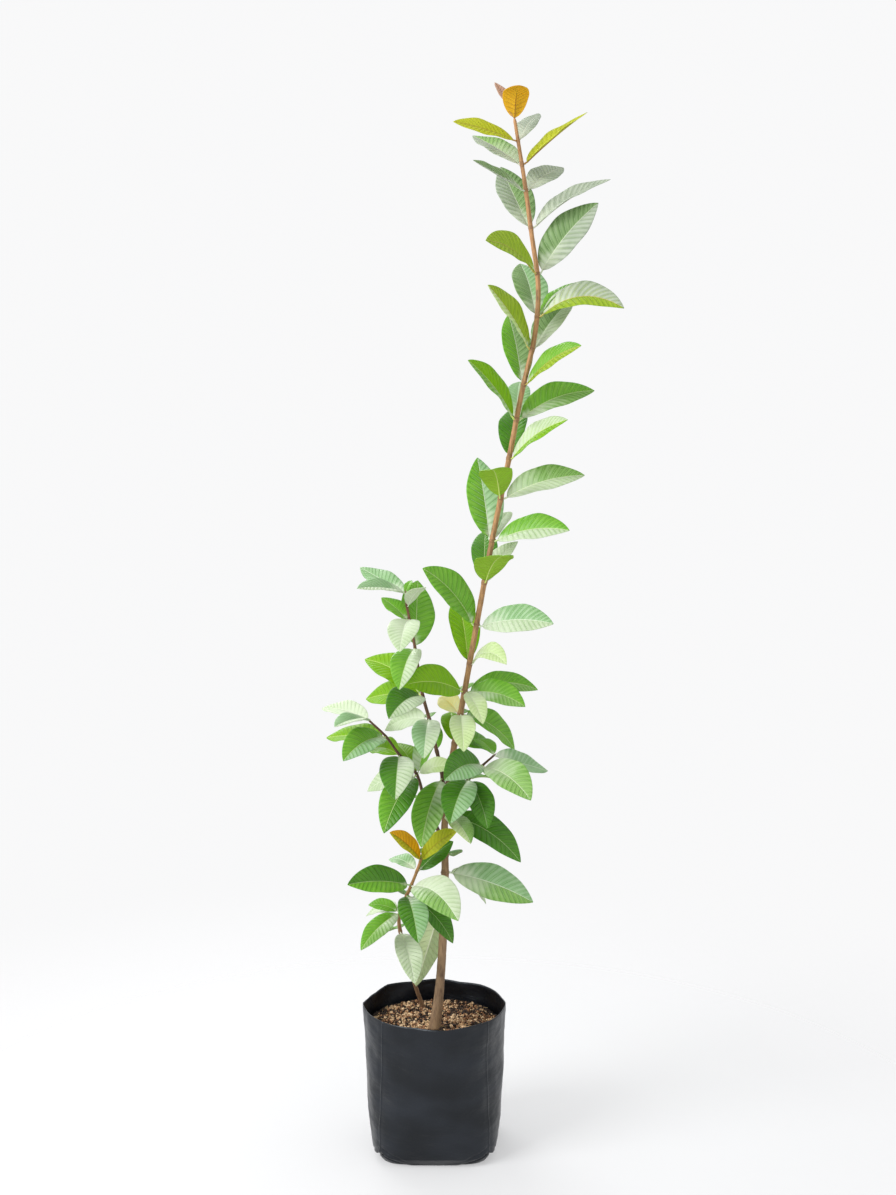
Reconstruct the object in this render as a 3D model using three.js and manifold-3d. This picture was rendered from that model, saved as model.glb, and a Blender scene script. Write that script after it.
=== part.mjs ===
// Young guava tree in a black nursery grow bag.
// Millimetres, +Z up, origin on the floor under the middle of the bag's flat underside.
// +X runs to the plant's right, +Y to its back.

import * as THREE from 'three';
import { mergeVertices } from 'three/addons/utils/BufferGeometryUtils.js';
import Module from 'manifold-3d';

const wasm = await Module();
wasm.setup();

// Driving dimensions of the bag and what fills it.
const BAG_HEIGHT = 206;
const BAG_RIM_RADIUS = 101;
const BAG_WALL = 1.2;
const BAG_SIDES = 32;
const SOIL_TOP = 178;
const SOIL_LUMP = 3.5;

// Driving dimensions of the wood and of a leaf's fixing to it.
const CLEARANCE = 0.3;
const SOIL_SIDE_GAP = 1;
const STEM_FOOT = SOIL_TOP + CLEARANCE;
const BARK_SIDES = 7;
const STATION_SPACING = 42;
const NODE_HALF_HEIGHT = 3;
const NODE_WALL = 1.9;
const BUD_LENGTH = 9;

// A guava leaf: petiole, elliptic blade folded a little along its midrib.
const LEAF_THICKNESS_SHARE = 0.017;
const LEAF_BREADTH_SHARE = 0.42;
const PETIOLE_SHARE = 0.04;
const PETIOLE_HALF_WIDTH = 1.1;
const LEAF_TIP_HALF_WIDTH = 0.7;
const LEAF_BASE_POWER = 0.62;
const LEAF_TIP_POWER = 0.8;
const LEAF_STATIONS = [0, 0.04, 0.1, 0.22, 0.38, 0.56, 0.74, 0.9, 1];
const FOLD_ANGLE = 18;
const USUAL_ARCH = 0.1;

const FINISH = {
  bag: { color: 0x1b1d20, roughness: 0.45, metalness: 0 },
  soil: { color: 0x6b4a33, roughness: 1, metalness: 0 },
  bark: { color: 0x8a6a52, roughness: 0.85, metalness: 0 },
  shoot: { color: 0xa8683c, roughness: 0.6, metalness: 0 },
  leaf: { color: 0x5d9a45, roughness: 0.45, metalness: 0 },
  youngLeaf: { color: 0xc9a21f, roughness: 0.4, metalness: 0 },
};

const UP = new THREE.Vector3(0, 0, 1);
const BACK = new THREE.Vector3(0, 1, 0);

const plant = new THREE.Group();

function addPart(name, geometry, finish) {
  const mesh = new THREE.Mesh(geometry, new THREE.MeshStandardMaterial(FINISH[finish]));
  mesh.name = name;
  plant.add(mesh);
}

// ---------------------------------------------------------------- shared geometry

/** Linear interpolation in a list of [key, value] rows sorted by key. */
function interpolate(rows, key) {
  let index = 1;
  while (index < rows.length - 1 && rows[index][0] < key) {
    index += 1;
  }
  const [lowKey, lowValue] = rows[index - 1];
  const [highKey, highValue] = rows[index];
  const share = THREE.MathUtils.clamp((key - lowKey) / (highKey - lowKey), 0, 1);
  return lowValue + (highValue - lowValue) * share;
}

/** Moves every vertex of a closed geometry with place(x, y, z) and welds it. */
function reshape(geometry, place) {
  geometry.deleteAttribute('normal');
  geometry.deleteAttribute('uv');
  const position = geometry.attributes.position;
  for (let i = 0; i < position.count; i += 1) {
    const spot = place(position.getX(i), position.getY(i), position.getZ(i));
    position.setXYZ(i, spot.x, spot.y, spot.z);
  }
  return mergeVertices(geometry, 1e-3);
}

function toSolid(geometry) {
  const vertProperties = new Float32Array(geometry.attributes.position.array);
  const triVerts = new Uint32Array(geometry.index.array);
  return new wasm.Manifold(new wasm.Mesh({ numProp: 3, vertProperties, triVerts }));
}

function toGeometry(solid) {
  const mesh = solid.getMesh();
  const geometry = new THREE.BufferGeometry();
  geometry.setAttribute('position', new THREE.BufferAttribute(mesh.vertProperties, 3));
  geometry.setIndex(new THREE.BufferAttribute(mesh.triVerts, 1));
  return geometry;
}

function fuse(geometries) {
  const solids = geometries.map(toSolid);
  return toGeometry(solids.reduce((whole, solid) => whole.add(solid)));
}

/** Unit vector at a compass bearing (0 = right, 90 = back) and a rise above level. */
function heading(bearing, rise) {
  const across = THREE.MathUtils.degToRad(bearing);
  const upward = THREE.MathUtils.degToRad(rise);
  const level = Math.cos(upward);
  return new THREE.Vector3(level * Math.cos(across), level * Math.sin(across), Math.sin(upward));
}

// ---------------------------------------------------------------- grow bag and soil

// Half widths of the bag by height, and the power of its outline there: the folded base
// makes the bag squarish low down, while its mouth is round at a power of 2.
const BAG_PROFILE = [
  [0, 78], [2, 80], [12, 88], [28, 91.5], [55, 95], [100, 97.5], [160, 99.5],
  [BAG_HEIGHT, BAG_RIM_RADIUS],
];
const BAG_OUTLINE_POWER = [[0, 5], [12, 4.2], [30, 3.2], [70, 2.5], [130, 2.1], [160, 2]];

function bagPoint(x, height, z) {
  const angle = Math.atan2(z, x);
  const power = interpolate(BAG_OUTLINE_POWER, height);
  const spread = Math.abs(Math.cos(angle)) ** power + Math.abs(Math.sin(angle)) ** power;
  const stretch = spread ** (-1 / power);
  return new THREE.Vector3(x * stretch, -z * stretch, height);
}

function wallOutline(inset, from, to) {
  const heights = BAG_PROFILE.map(([height]) => height).filter((h) => h > from && h < to);
  return [from, ...heights, to].map(
    (height) => new THREE.Vector2(interpolate(BAG_PROFILE, height) - inset, height),
  );
}

function bagShell() {
  const outer = wallOutline(0, 0, BAG_HEIGHT);
  const inner = wallOutline(BAG_WALL, BAG_WALL, BAG_HEIGHT).reverse();
  const profile = [
    new THREE.Vector2(0, 0), ...outer, ...inner, new THREE.Vector2(0, BAG_WALL),
  ];
  return reshape(new THREE.LatheGeometry(profile, BAG_SIDES), bagPoint);
}

/** Lumps on the soil, which die away where a stem stands. */
function soilLump(x, y, stemFeet) {
  const nearest = Math.min(...stemFeet.map(([footX, footY]) => Math.hypot(x - footX, y - footY)));
  const calm = THREE.MathUtils.smoothstep(nearest, 16, 34);
  return -SOIL_LUMP * calm * (0.5 + 0.5 * Math.sin(x / 9 + 1) * Math.cos(y / 11));
}

function soilFill(stemFeet) {
  const floor = BAG_WALL + CLEARANCE;
  const side = wallOutline(BAG_WALL + SOIL_SIDE_GAP, floor, SOIL_TOP);
  const shares = [0.86, 0.7, 0.52, 0.34, 0.16];
  const topRadius = side[side.length - 1].x;
  const top = shares.map((share) => new THREE.Vector2(topRadius * share, SOIL_TOP));
  const profile = [
    new THREE.Vector2(0, floor), ...side, ...top, new THREE.Vector2(0, SOIL_TOP),
  ];
  return reshape(new THREE.LatheGeometry(profile, BAG_SIDES), (x, height, z) => {
    const spot = bagPoint(x, height, z);
    if (height === SOIL_TOP && Math.hypot(x, z) < topRadius * 0.9) {
      spot.z += soilLump(spot.x, spot.y, stemFeet);
    }
    return spot;
  });
}

// ---------------------------------------------------------------- limbs

/**
 * One tapering limb along a smooth path. Its rings stand close together at each leaf
 * node, so that the collar of a leaf pair runs parallel to the bark between two rings.
 */
class Limb {
  constructor({ path, girth, nodeHeights }) {
    this.curve = new THREE.CatmullRomCurve3(path.map((p) => new THREE.Vector3(...p)), false, 'centripetal');
    this.length = this.curve.getLength();
    this.girth = girth;
    const nodeReaches = nodeHeights.map((height) => this.reachAt(height));
    const nodeRings = nodeReaches.flatMap((reach) => [reach - NODE_HALF_HEIGHT, reach + NODE_HALF_HEIGHT]);
    const count = Math.ceil(this.length / STATION_SPACING);
    const evenRings = Array.from({ length: count + 1 }, (_, i) => (this.length * i) / count);
    const isFree = (reach) => nodeRings.every((ring) => Math.abs(ring - reach) > 9);
    const inner = evenRings.slice(1, -1).filter(isFree);
    this.rings = [0, ...inner, ...nodeRings, this.length].sort((a, b) => a - b).map((r) => this.ring(r));
  }

  /** Distance along the limb at which it passes a height. */
  reachAt(height) {
    let low = 0;
    let high = this.length;
    for (let i = 0; i < 30; i += 1) {
      const middle = (low + high) / 2;
      if (this.curve.getPointAt(middle / this.length).z < height) {
        low = middle;
      } else {
        high = middle;
      }
    }
    return (low + high) / 2;
  }

  ring(reach) {
    const share = THREE.MathUtils.clamp(reach / this.length, 0, 1);
    const along = reach <= 0 ? UP.clone() : this.curve.getTangentAt(share);
    const deep = BACK.clone().addScaledVector(along, -BACK.dot(along)).normalize();
    const side = along.clone().cross(deep);
    const centre = this.curve.getPointAt(share);
    return { reach, centre, side, deep, along, radius: interpolate(this.girth, centre.z) };
  }

  /** Point outside the bark between two rings; dx and dy are a unit direction round it. */
  barkPoint(lower, upper, share, dx, dy, outside) {
    const at = (ring) => ring.centre.clone()
      .addScaledVector(ring.side, dx * (ring.radius + outside))
      .addScaledVector(ring.deep, dy * (ring.radius + outside));
    return at(lower).lerp(at(upper), share);
  }

  solid(outside = 0) {
    const last = this.rings.length - 1;
    const tube = new THREE.CylinderGeometry(1, 1, 1, BARK_SIDES, last);
    return reshape(tube, (x, y, z) => {
      const ring = this.rings[Math.round((y + 0.5) * last)];
      const reach = ring.radius + outside;
      return ring.centre.clone().addScaledVector(ring.side, x * reach).addScaledVector(ring.deep, z * reach);
    });
  }

  tip() {
    return this.rings[this.rings.length - 1];
  }

  nodeRings(height) {
    const reach = this.reachAt(height);
    const lower = this.rings.findIndex((ring) => Math.abs(ring.reach - reach + NODE_HALF_HEIGHT) < 1e-6);
    return [this.rings[lower], this.rings[lower + 1]];
  }
}

/** Cuts a limb clear of the limb that it grows from. */
function cutClear(limb, parent) {
  return toGeometry(toSolid(limb.solid()).subtract(toSolid(parent.solid(CLEARANCE))));
}

// ---------------------------------------------------------------- leaves

function bladeHalfWidth(share, breadth) {
  if (share <= PETIOLE_SHARE + 1e-6) {
    return PETIOLE_HALF_WIDTH;
  }
  const along = (share - PETIOLE_SHARE) / (1 - PETIOLE_SHARE);
  const power = along < 0.47 ? LEAF_BASE_POWER : LEAF_TIP_POWER;
  const ellipse = Math.sin(Math.PI * along ** 0.92) ** power;
  return Math.max(LEAF_TIP_HALF_WIDTH, (breadth / 2) * ellipse);
}

/** A leaf from its root to a tip, arched, folded along its midrib and rolled about it. */
function leafSolid(root, tip, plan) {
  const chord = tip.clone().sub(root);
  const length = chord.length();
  const along = chord.clone().normalize();
  const right = along.clone().cross(UP).normalize();
  const above = right.clone().cross(along);
  const fold = THREE.MathUtils.degToRad(FOLD_ANGLE);
  const roll = THREE.MathUtils.degToRad(plan.roll);
  const last = LEAF_STATIONS.length - 1;
  const blade = new THREE.CylinderGeometry(1, 1, 1, 4, last);
  return reshape(blade, (x, y, z) => {
    const share = LEAF_STATIONS[Math.round((y + 0.5) * last)];
    const bow = plan.arch * length;
    const spine = root.clone()
      .addScaledVector(chord, share)
      .addScaledVector(above, bow * 4 * share * (1 - share));
    const slope = (4 * bow * (1 - 2 * share)) / length;
    const forward = along.clone().addScaledVector(above, slope).normalize();
    const across = right.clone().applyAxisAngle(forward, roll);
    const normal = across.clone().cross(forward);
    const half = bladeHalfWidth(share, plan.length * plan.breadth);
    const thickness = share === 1 ? LEAF_TIP_HALF_WIDTH : plan.length * LEAF_THICKNESS_SHARE;
    const lift = share > PETIOLE_SHARE ? Math.sin(fold) : 0;
    return spine
      .addScaledVector(across, x * half * Math.cos(fold))
      .addScaledVector(normal, Math.abs(x) * half * lift + (z * thickness) / 2);
  });
}

/** The collar that a leaf pair shares, a short ring round the bark with a small gap. */
function collar(limb, height) {
  const [lower, upper] = limb.nodeRings(height);
  const inner = 1 + CLEARANCE;
  const outer = inner + NODE_WALL;
  const profile = [[inner, 0], [outer, 0.15], [outer, 0.85], [inner, 1], [inner, 0]];
  const ring = new THREE.LatheGeometry(profile.map((p) => new THREE.Vector2(...p)), BARK_SIDES);
  return reshape(ring, (x, y, z) => {
    const outside = Math.hypot(x, z) - 1;
    const reach = outside + 1;
    return limb.barkPoint(lower, upper, y, x / reach, z / reach, outside);
  });
}

/** The leaves of one node, grown out of a collar round the limb. */
function nodeFoliage(limb, height, leaves) {
  const [lower, upper] = limb.nodeRings(height);
  const centre = lower.centre.clone().lerp(upper.centre, 0.5);
  const bark = (lower.radius + upper.radius) / 2;
  const blades = leaves.map((plan) => {
    const direction = heading(plan.bearing, plan.rise);
    const outward = direction.clone().addScaledVector(lower.along, -direction.dot(lower.along)).normalize();
    const root = centre.clone().addScaledVector(outward, bark + CLEARANCE + 0.6 * NODE_WALL);
    const tip = centre.clone().addScaledVector(direction, plan.length);
    return leafSolid(root, tip, plan);
  });
  return fuse([collar(limb, height), ...blades]);
}

/** The end bud of a limb with its youngest leaves, just clear of the limb's tip. */
function tipFoliage(limb, leaves) {
  const end = limb.tip();
  const bud = reshape(new THREE.CylinderGeometry(0.45, 1, 1, BARK_SIDES, 1), (x, y, z) => (
    end.centre.clone()
      .addScaledVector(end.along, CLEARANCE + (y + 0.5) * BUD_LENGTH)
      .addScaledVector(end.side, x * end.radius)
      .addScaledVector(end.deep, z * end.radius)
  ));
  const root = end.centre.clone().addScaledVector(end.along, CLEARANCE + BUD_LENGTH * 0.4);
  const blades = leaves.map((plan) => (
    leafSolid(root, root.clone().addScaledVector(heading(plan.bearing, plan.rise), plan.length), plan)
  ));
  return fuse([bud, ...blades]);
}

/** A leaf's plan: where its tip lies from its node, its length in mm, and its set. */
function leaf(bearing, rise, length, roll = 0, arch = USUAL_ARCH, breadth = LEAF_BREADTH_SHARE) {
  return { bearing, rise, length, roll, arch, breadth };
}

// ---------------------------------------------------------------- the plant's habit

// Each shoot: its path, its girth as [height, radius] rows, its leaf nodes by height
// and the leaves of its tip. Guava leaves stand in opposite pairs, here mostly to the
// left and right, with a third from a side bud at some nodes.

const LEADER = {
  name: 'trunk',
  path: [
    [0, -25, STEM_FOOT], [6, -22, 225], [10, -18, 276], [15, -10, 404], [14, -6, 462], [22, -2, 546],
    [39, 0, 640], [58, 6, 746], [83, 8, 883], [103, 4, 982], [119, 0, 1068], [137, -4, 1150],
    [141, -4, 1215], [132, -2, 1282], [122, 0, 1353], [109, 0, 1430],
  ],
  girth: [
    [178, 9.3], [186, 8.4], [205, 7.2], [245, 6.3], [404, 5.2], [520, 4.6], [650, 4.0], [900, 3.6],
    [1200, 3.2], [1350, 2.8], [1430, 2.1],
  ],
  nodes: {
    345: [leaf(180, -70, 116, 60, 0, 0.46)],
    401: [leaf(-8, -17, 130, 45, 0.05, 0.44), leaf(30, -40, 88, 40)],
    426: [leaf(112, -13, 94, 0, 0.05), leaf(82, -17, 92, 0, 0.05)],
    482: [leaf(-23, -26, 126, 30), leaf(-65, -14, 85), leaf(116, -14, 94, 0, 0.05)],
    540: [leaf(152, -6, 80), leaf(86, -14, 98, 0, 0.05)],
    584: [leaf(94, 20, 85), leaf(38, -14, 74, 42, 0.1, 0.5)],
    625: [
      leaf(-87, -24, 88, 0, 0.1, 0.46), leaf(26, -34, 104, 48, 0.1, 0.46),
      leaf(124, 16, 56, -35, 0.1, 0.6), leaf(74, -12, 98, 0, 0.05),
    ],
    657: [
      leaf(-136, 12, 112, -52, 0.08, 0.5), leaf(8, 0, 104, 38, 0.12, 0.4),
      leaf(-24, -9, 92, 42, 0.1, 0.48), leaf(-66, -30, 70, 10, 0.1, 0.46), leaf(96, -9, 100, 0, 0.05),
    ],
    696: [leaf(102, 46, 116), leaf(-46, 6, 72, 35, 0.25, 0.5)],
    749: [leaf(-151, 45, 120, -68, 0.08, 0.46), leaf(-28, 5, 118, 50, 0.07)],
    810: [leaf(-72, 27, 98, 0, 0.12, 0.56), leaf(88, 36, 110, 0, 0.1, 0.36), leaf(32, 44, 78, 25)],
    868: [leaf(116, 68, 122, -15, 0.03, 0.45), leaf(-30, 9, 120, 45, 0.08), leaf(66, 28, 76)],
    927: [leaf(-101, 26, 96, 10, 0.15, 0.5), leaf(2, 15, 120, 45, 0.07)],
    982: [leaf(79, 38, 112, 0, 0.1, 0.4), leaf(-38, 29, 110, 48, 0.08)],
    1035: [leaf(-140, 42, 118, -58, 0.06, 0.44), leaf(16, 19, 120, 44, 0.09), leaf(84, 36, 88)],
    1083: [leaf(107, 56, 116, 0, 0.06, 0.4), leaf(-42, 27, 110, 50, 0.08)],
    1129: [leaf(-140, 46, 116, -62, 0.05, 0.44), leaf(42, 42, 108, 20, 0.06)],
    1174: [leaf(104, 43, 112, 0, 0.08, 0.46), leaf(-22, 4, 122, 46, 0.18), leaf(24, 36, 82)],
    1231: [leaf(0, 49, 124, 60, 0.05, 0.46), leaf(-128, 17, 122, -60, 0.09)],
    1292: [leaf(120, 49, 118, -20, 0, 0.44), leaf(5, 31, 126, 22, 0.06, 0.36)],
    1341: [leaf(-134, 16, 108, -38, 0), leaf(52, 24, 98, 25, 0.06)],
    1376: [leaf(12, 38, 115, 9, 0.02, 0.38), leaf(135, 27, 104, -20, 0.03)],
    1407: [leaf(-156, 11, 97, -42, 0.03, 0.38), leaf(66, 32, 88, 0, 0.05, 0.38)],
  },
  tipLeaves: [leaf(-85, 41, 57, 0, 0.2, 0.68), leaf(127, 52, 70, 0, 0.05, 0.36)],
  tipAge: 'youngLeaf',
};

const BASAL_STEM = {
  name: 'basal_stem',
  path: [
    [-17, 55, STEM_FOOT], [-27, 40, 213], [-41, 15, 272], [-49, -6, 316], [-50, -14, 336],
    [-42, -22, 364], [-33, -28, 386], [-24, -32, 410], [-20, -34, 422],
  ],
  girth: [[178, 4.0], [190, 3.1], [320, 2.6], [422, 1.9]],
  nodes: {
    314: [leaf(-75, -29, 98), leaf(104, -18, 84, 0, 0.05)],
    345: [
      leaf(-127, -20, 92, -20, 0.08, 0.36), leaf(133, -17, 78, -30), leaf(176, 12, 46, -40, 0.1, 0.5),
    ],
    373: [leaf(-80, -20, 107), leaf(-30, -38, 94, 20), leaf(94, -17, 88, 0, 0.05)],
    388: [leaf(-145, 10, 106, -48, 0.05, 0.46), leaf(-56, -10, 118, 25, 0.14, 0.48)],
    409: [leaf(22, 34, 66, 45, 0.05, 0.5), leaf(128, 2, 66, -20)],
  },
  tipLeaves: [leaf(-142, 42, 72, -58, 0.05, 0.46), leaf(-32, 40, 78, 58, 0.05, 0.44)],
  tipAge: 'youngLeaf',
};

const UPPER_LEFT_BOUGH = {
  name: 'upper_left_bough',
  parent: LEADER,
  path: [
    [16, -5, 492], [10, -10, 545], [0, -15, 590], [-7, -18, 622], [-17, -20, 660], [-26, -20, 719],
    [-35, -18, 766], [-38, -16, 782], [-39, -15, 793],
  ],
  girth: [[492, 3.0], [620, 2.4], [793, 1.6]],
  nodes: {
    536: [leaf(-110, -43, 114, 0, 0.1, 0.44)],
    575: [leaf(102, 28, 64, 0, 0.1, 0.44)],
    622: [
      leaf(146, -18, 80, -50, 0.1, 0.48), leaf(-94, -22, 97, 0, 0.1, 0.44), leaf(100, -11, 90, 0, 0.05),
    ],
    655: [
      leaf(-115, -8, 104, -24, 0.1, 0.48), leaf(142, -9, 105, -46, 0.05, 0.46),
      leaf(142, 21, 113, -38, 0.1, 0.46),
    ],
    721: [leaf(88, 49, 114, 24, 0.06, 0.48), leaf(-102, -24, 102, 0, 0.1, 0.44)],
    761: [leaf(144, 29, 56, -22, 0.04, 0.52), leaf(-98, -22, 87, 0, 0.12, 0.54)],
    779: [leaf(-62, 30, 64)],
  },
  tipLeaves: [leaf(138, 19, 93, -20, 0), leaf(-134, 9, 92, -24, 0.05), leaf(70, 34, 28)],
  tipAge: 'leaf',
};

const LOWER_LEFT_BOUGH = {
  name: 'lower_left_bough',
  parent: LEADER,
  path: [
    [14, -8, 440], [2, -13, 470], [-13, -19, 505], [-25, -25, 546], [-48, -28, 573], [-67, -30, 600],
    [-87, -32, 620],
  ],
  girth: [[440, 2.9], [540, 2.1], [620, 1.5]],
  nodes: {
    510: [leaf(158, -16, 52)],
    545: [
      leaf(-116, -32, 114, -20, 0.1, 0.44), leaf(115, 20, 85), leaf(-15, 14, 58, 45, 0.1, 0.5),
      leaf(160, -22, 80, -50, 0.1, 0.46), leaf(68, 37, 78),
    ],
    573: [leaf(-92, -23, 102, 0, 0.1, 0.5), leaf(128, -4, 70, -35, 0.1, 0.55)],
    600: [leaf(-122, -9, 102, -28, 0.1, 0.48), leaf(144, -8, 108, -25, 0.03)],
  },
  tipLeaves: [leaf(138, 3, 94, -20, 0.06), leaf(-119, 4, 87, -10, 0.06)],
  tipAge: 'leaf',
};

const RIGHT_BOUGH = {
  name: 'right_bough',
  parent: LEADER,
  path: [[17, -4, 500], [34, -14, 522], [50, -22, 540], [69, -30, 561], [80, -35, 572]],
  girth: [[500, 2.6], [572, 1.4]],
  nodes: {
    538: [
      leaf(-107, -25, 98, -10, 0.1, 0.52), leaf(-68, -40, 86, 10, 0.1, 0.48),
      leaf(60, -14, 90, 0, 0.05),
    ],
    559: [leaf(-122, -1, 100, -46, 0.1, 0.52), leaf(-54, -15, 110, 25, 0.1, 0.5)],
  },
  tipLeaves: [leaf(36, -20, 102, 38, 0), leaf(118, 12, 58, 0, 0.1, 0.5)],
  tipAge: 'leaf',
};

const SHOOTS = [LEADER, BASAL_STEM, UPPER_LEFT_BOUGH, LOWER_LEFT_BOUGH, RIGHT_BOUGH];
const STEM_FEET = [LEADER, BASAL_STEM].map((shoot) => shoot.path[0]);

// ---------------------------------------------------------------- assembly

addPart('grow_bag', bagShell(), 'bag');
addPart('soil', soilFill(STEM_FEET), 'soil');

const limbs = new Map();
for (const shoot of SHOOTS) {
  const heights = Object.keys(shoot.nodes).map(Number);
  const limb = new Limb({ path: shoot.path, girth: shoot.girth, nodeHeights: heights });
  limbs.set(shoot, limb);
  const wood = shoot.parent ? cutClear(limb, limbs.get(shoot.parent)) : limb.solid();
  addPart(shoot.name, wood, shoot.parent ? 'shoot' : 'bark');
  heights.forEach((height, index) => {
    const number = String(index + 1).padStart(2, '0');
    addPart(`${shoot.name}_leaves_${number}`, nodeFoliage(limb, height, shoot.nodes[height]), 'leaf');
  });
  addPart(`${shoot.name}_tip_leaves`, tipFoliage(limb, shoot.tipLeaves), shoot.tipAge);
}

export default plant;
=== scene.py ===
"""A young guava tree in a black nursery grow bag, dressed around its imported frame.

Sizes are millimetres in the plant's own frame: +X to its right, +Y to its back, +Z up, with the floor
at zero. The factor MM turns them into the scene's metres when a mesh is made.
"""

import logging
import math
import random
from collections import defaultdict
from collections.abc import Callable, Iterable, Mapping, Sequence
from dataclasses import dataclass, field
from enum import Enum
from functools import partial
from typing import Any

import bmesh
import bpy
import numpy as np
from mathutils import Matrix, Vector, noise


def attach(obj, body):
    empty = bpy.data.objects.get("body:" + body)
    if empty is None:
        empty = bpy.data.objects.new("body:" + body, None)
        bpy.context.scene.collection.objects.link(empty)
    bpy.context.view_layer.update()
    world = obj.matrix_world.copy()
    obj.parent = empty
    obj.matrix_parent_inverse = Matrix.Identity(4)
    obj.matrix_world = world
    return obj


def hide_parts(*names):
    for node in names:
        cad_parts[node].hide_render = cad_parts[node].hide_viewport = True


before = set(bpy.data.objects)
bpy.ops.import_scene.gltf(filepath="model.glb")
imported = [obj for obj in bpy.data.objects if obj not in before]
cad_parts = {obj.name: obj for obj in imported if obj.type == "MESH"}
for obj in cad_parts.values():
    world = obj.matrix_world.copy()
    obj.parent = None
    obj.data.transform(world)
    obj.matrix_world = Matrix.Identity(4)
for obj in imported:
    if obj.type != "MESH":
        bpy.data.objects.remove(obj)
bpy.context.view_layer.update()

LOG = logging.getLogger("guava")
MM = 0.001
BODY = "root"
MERGE_GAP = 1e-4
UP = np.array([0.0, 0.0, 1.0])
BACKWARD = np.array([0.0, 1.0, 0.0])

Number = float | np.ndarray
Place = Callable[[float, float], Sequence[float]]
Colour = tuple[float, float, float]


# ------------------------------------------------------------------ small helpers


def paint(code: str) -> Colour:
    """Turns a screen colour such as "#5d9a45" into the linear colour that shaders take."""
    channels = [int(code[i : i + 2], 16) / 255 for i in (1, 3, 5)]
    return tuple(c / 12.92 if c <= 0.04045 else ((c + 0.055) / 1.055) ** 2.4 for c in channels)


def smooth(value: Number, low: float, high: float) -> Number:
    """A smooth step from 0 at low to 1 at high, for numbers and arrays."""
    share = np.clip((value - low) / (high - low), 0.0, 1.0)
    return share * share * (3 - 2 * share)


def unit(vector: np.ndarray) -> np.ndarray:
    """The vector at a length of one."""
    return vector / np.linalg.norm(vector)


def heading(bearing: float, rise: float) -> np.ndarray:
    """Unit vector at a compass bearing and a rise above level.

    Args:
        bearing: Degrees round the plant, 0 to the right and 90 to the back.
        rise: Degrees above level.

    Returns:
        The direction as three numbers.
    """
    across, upward = math.radians(bearing), math.radians(rise)
    level = math.cos(upward)
    return np.array([level * math.cos(across), level * math.sin(across), math.sin(upward)])


def grain(point: Sequence[float], scale: float, seed: float = 0.0) -> float:
    """Smooth noise from -1 to 1 at a point, with features about scale millimetres across."""
    return noise.noise(Vector((point[0] / scale + seed, point[1] / scale, point[2] / scale)))


def hump(distance: float, width: float) -> float:
    """A smooth hump, which is 1 at no distance and fades over a width."""
    return math.exp(-((distance / width) ** 2))


def even_turns(count: int) -> list[float]:
    """Even turns round an axis, from 0 up to 1."""
    return [i / count for i in range(count + 1)]


def round_spot(radius: float, angle: float, height: float) -> tuple[float, float, float]:
    """The point at a radius and an angle round the plant's axis, at a height."""
    return radius * math.cos(angle), radius * math.sin(angle), height


def ring_point(
    centre: np.ndarray, radius: float, turn: float, side: np.ndarray, deep: np.ndarray
) -> np.ndarray:
    """A point round a centre, in the plane of two directions.

    Args:
        centre: The middle of the ring.
        radius: Its radius in mm.
        turn: How far round the point lies, from 0 up to 1.
        side: The direction that the ring starts from.
        deep: The direction a quarter of the way round it.

    Returns:
        The point.
    """
    angle = math.tau * turn
    return centre + radius * (math.cos(angle) * side + math.sin(angle) * deep)


# ------------------------------------------------------------------ shader maths


class Value:
    """A number, colour or vector inside a material: a node's output with Python's operators."""

    def __init__(self, sheet: "NodeSheet", socket: bpy.types.NodeSocket) -> None:
        """Wraps an output socket of a node on the sheet."""
        self.sheet = sheet
        self.socket = socket

    def __add__(self, other: "Value | float") -> "Value":
        """Sum."""
        return self.sheet.math("ADD", self, other)

    def __radd__(self, other: float) -> "Value":
        """Sum with a number on the left."""
        return self.sheet.math("ADD", other, self)

    def __sub__(self, other: "Value | float") -> "Value":
        """Difference."""
        return self.sheet.math("SUBTRACT", self, other)

    def __rsub__(self, other: float) -> "Value":
        """Difference with a number on the left."""
        return self.sheet.math("SUBTRACT", other, self)

    def __mul__(self, other: "Value | float") -> "Value":
        """Product."""
        return self.sheet.math("MULTIPLY", self, other)

    def __rmul__(self, other: float) -> "Value":
        """Product with a number on the left."""
        return self.sheet.math("MULTIPLY", other, self)

    def __abs__(self) -> "Value":
        """Size without sign."""
        return self.sheet.math("ABSOLUTE", self)

    def fraction(self) -> "Value":
        """The part after the whole number."""
        return self.sheet.math("FRACT", self)

    def step(self, low: float, high: float) -> "Value":
        """A smooth step.

        Args:
            low: The value up to which it is 0.
            high: The value from which it is 1.

        Returns:
            The step.
        """
        node = self.sheet.node(
            "ShaderNodeMapRange",
            {"interpolation_type": "SMOOTHSTEP"},
            {"Value": self, "From Min": low, "From Max": high},
        )
        return Value(self.sheet, node.outputs["Result"])


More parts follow.
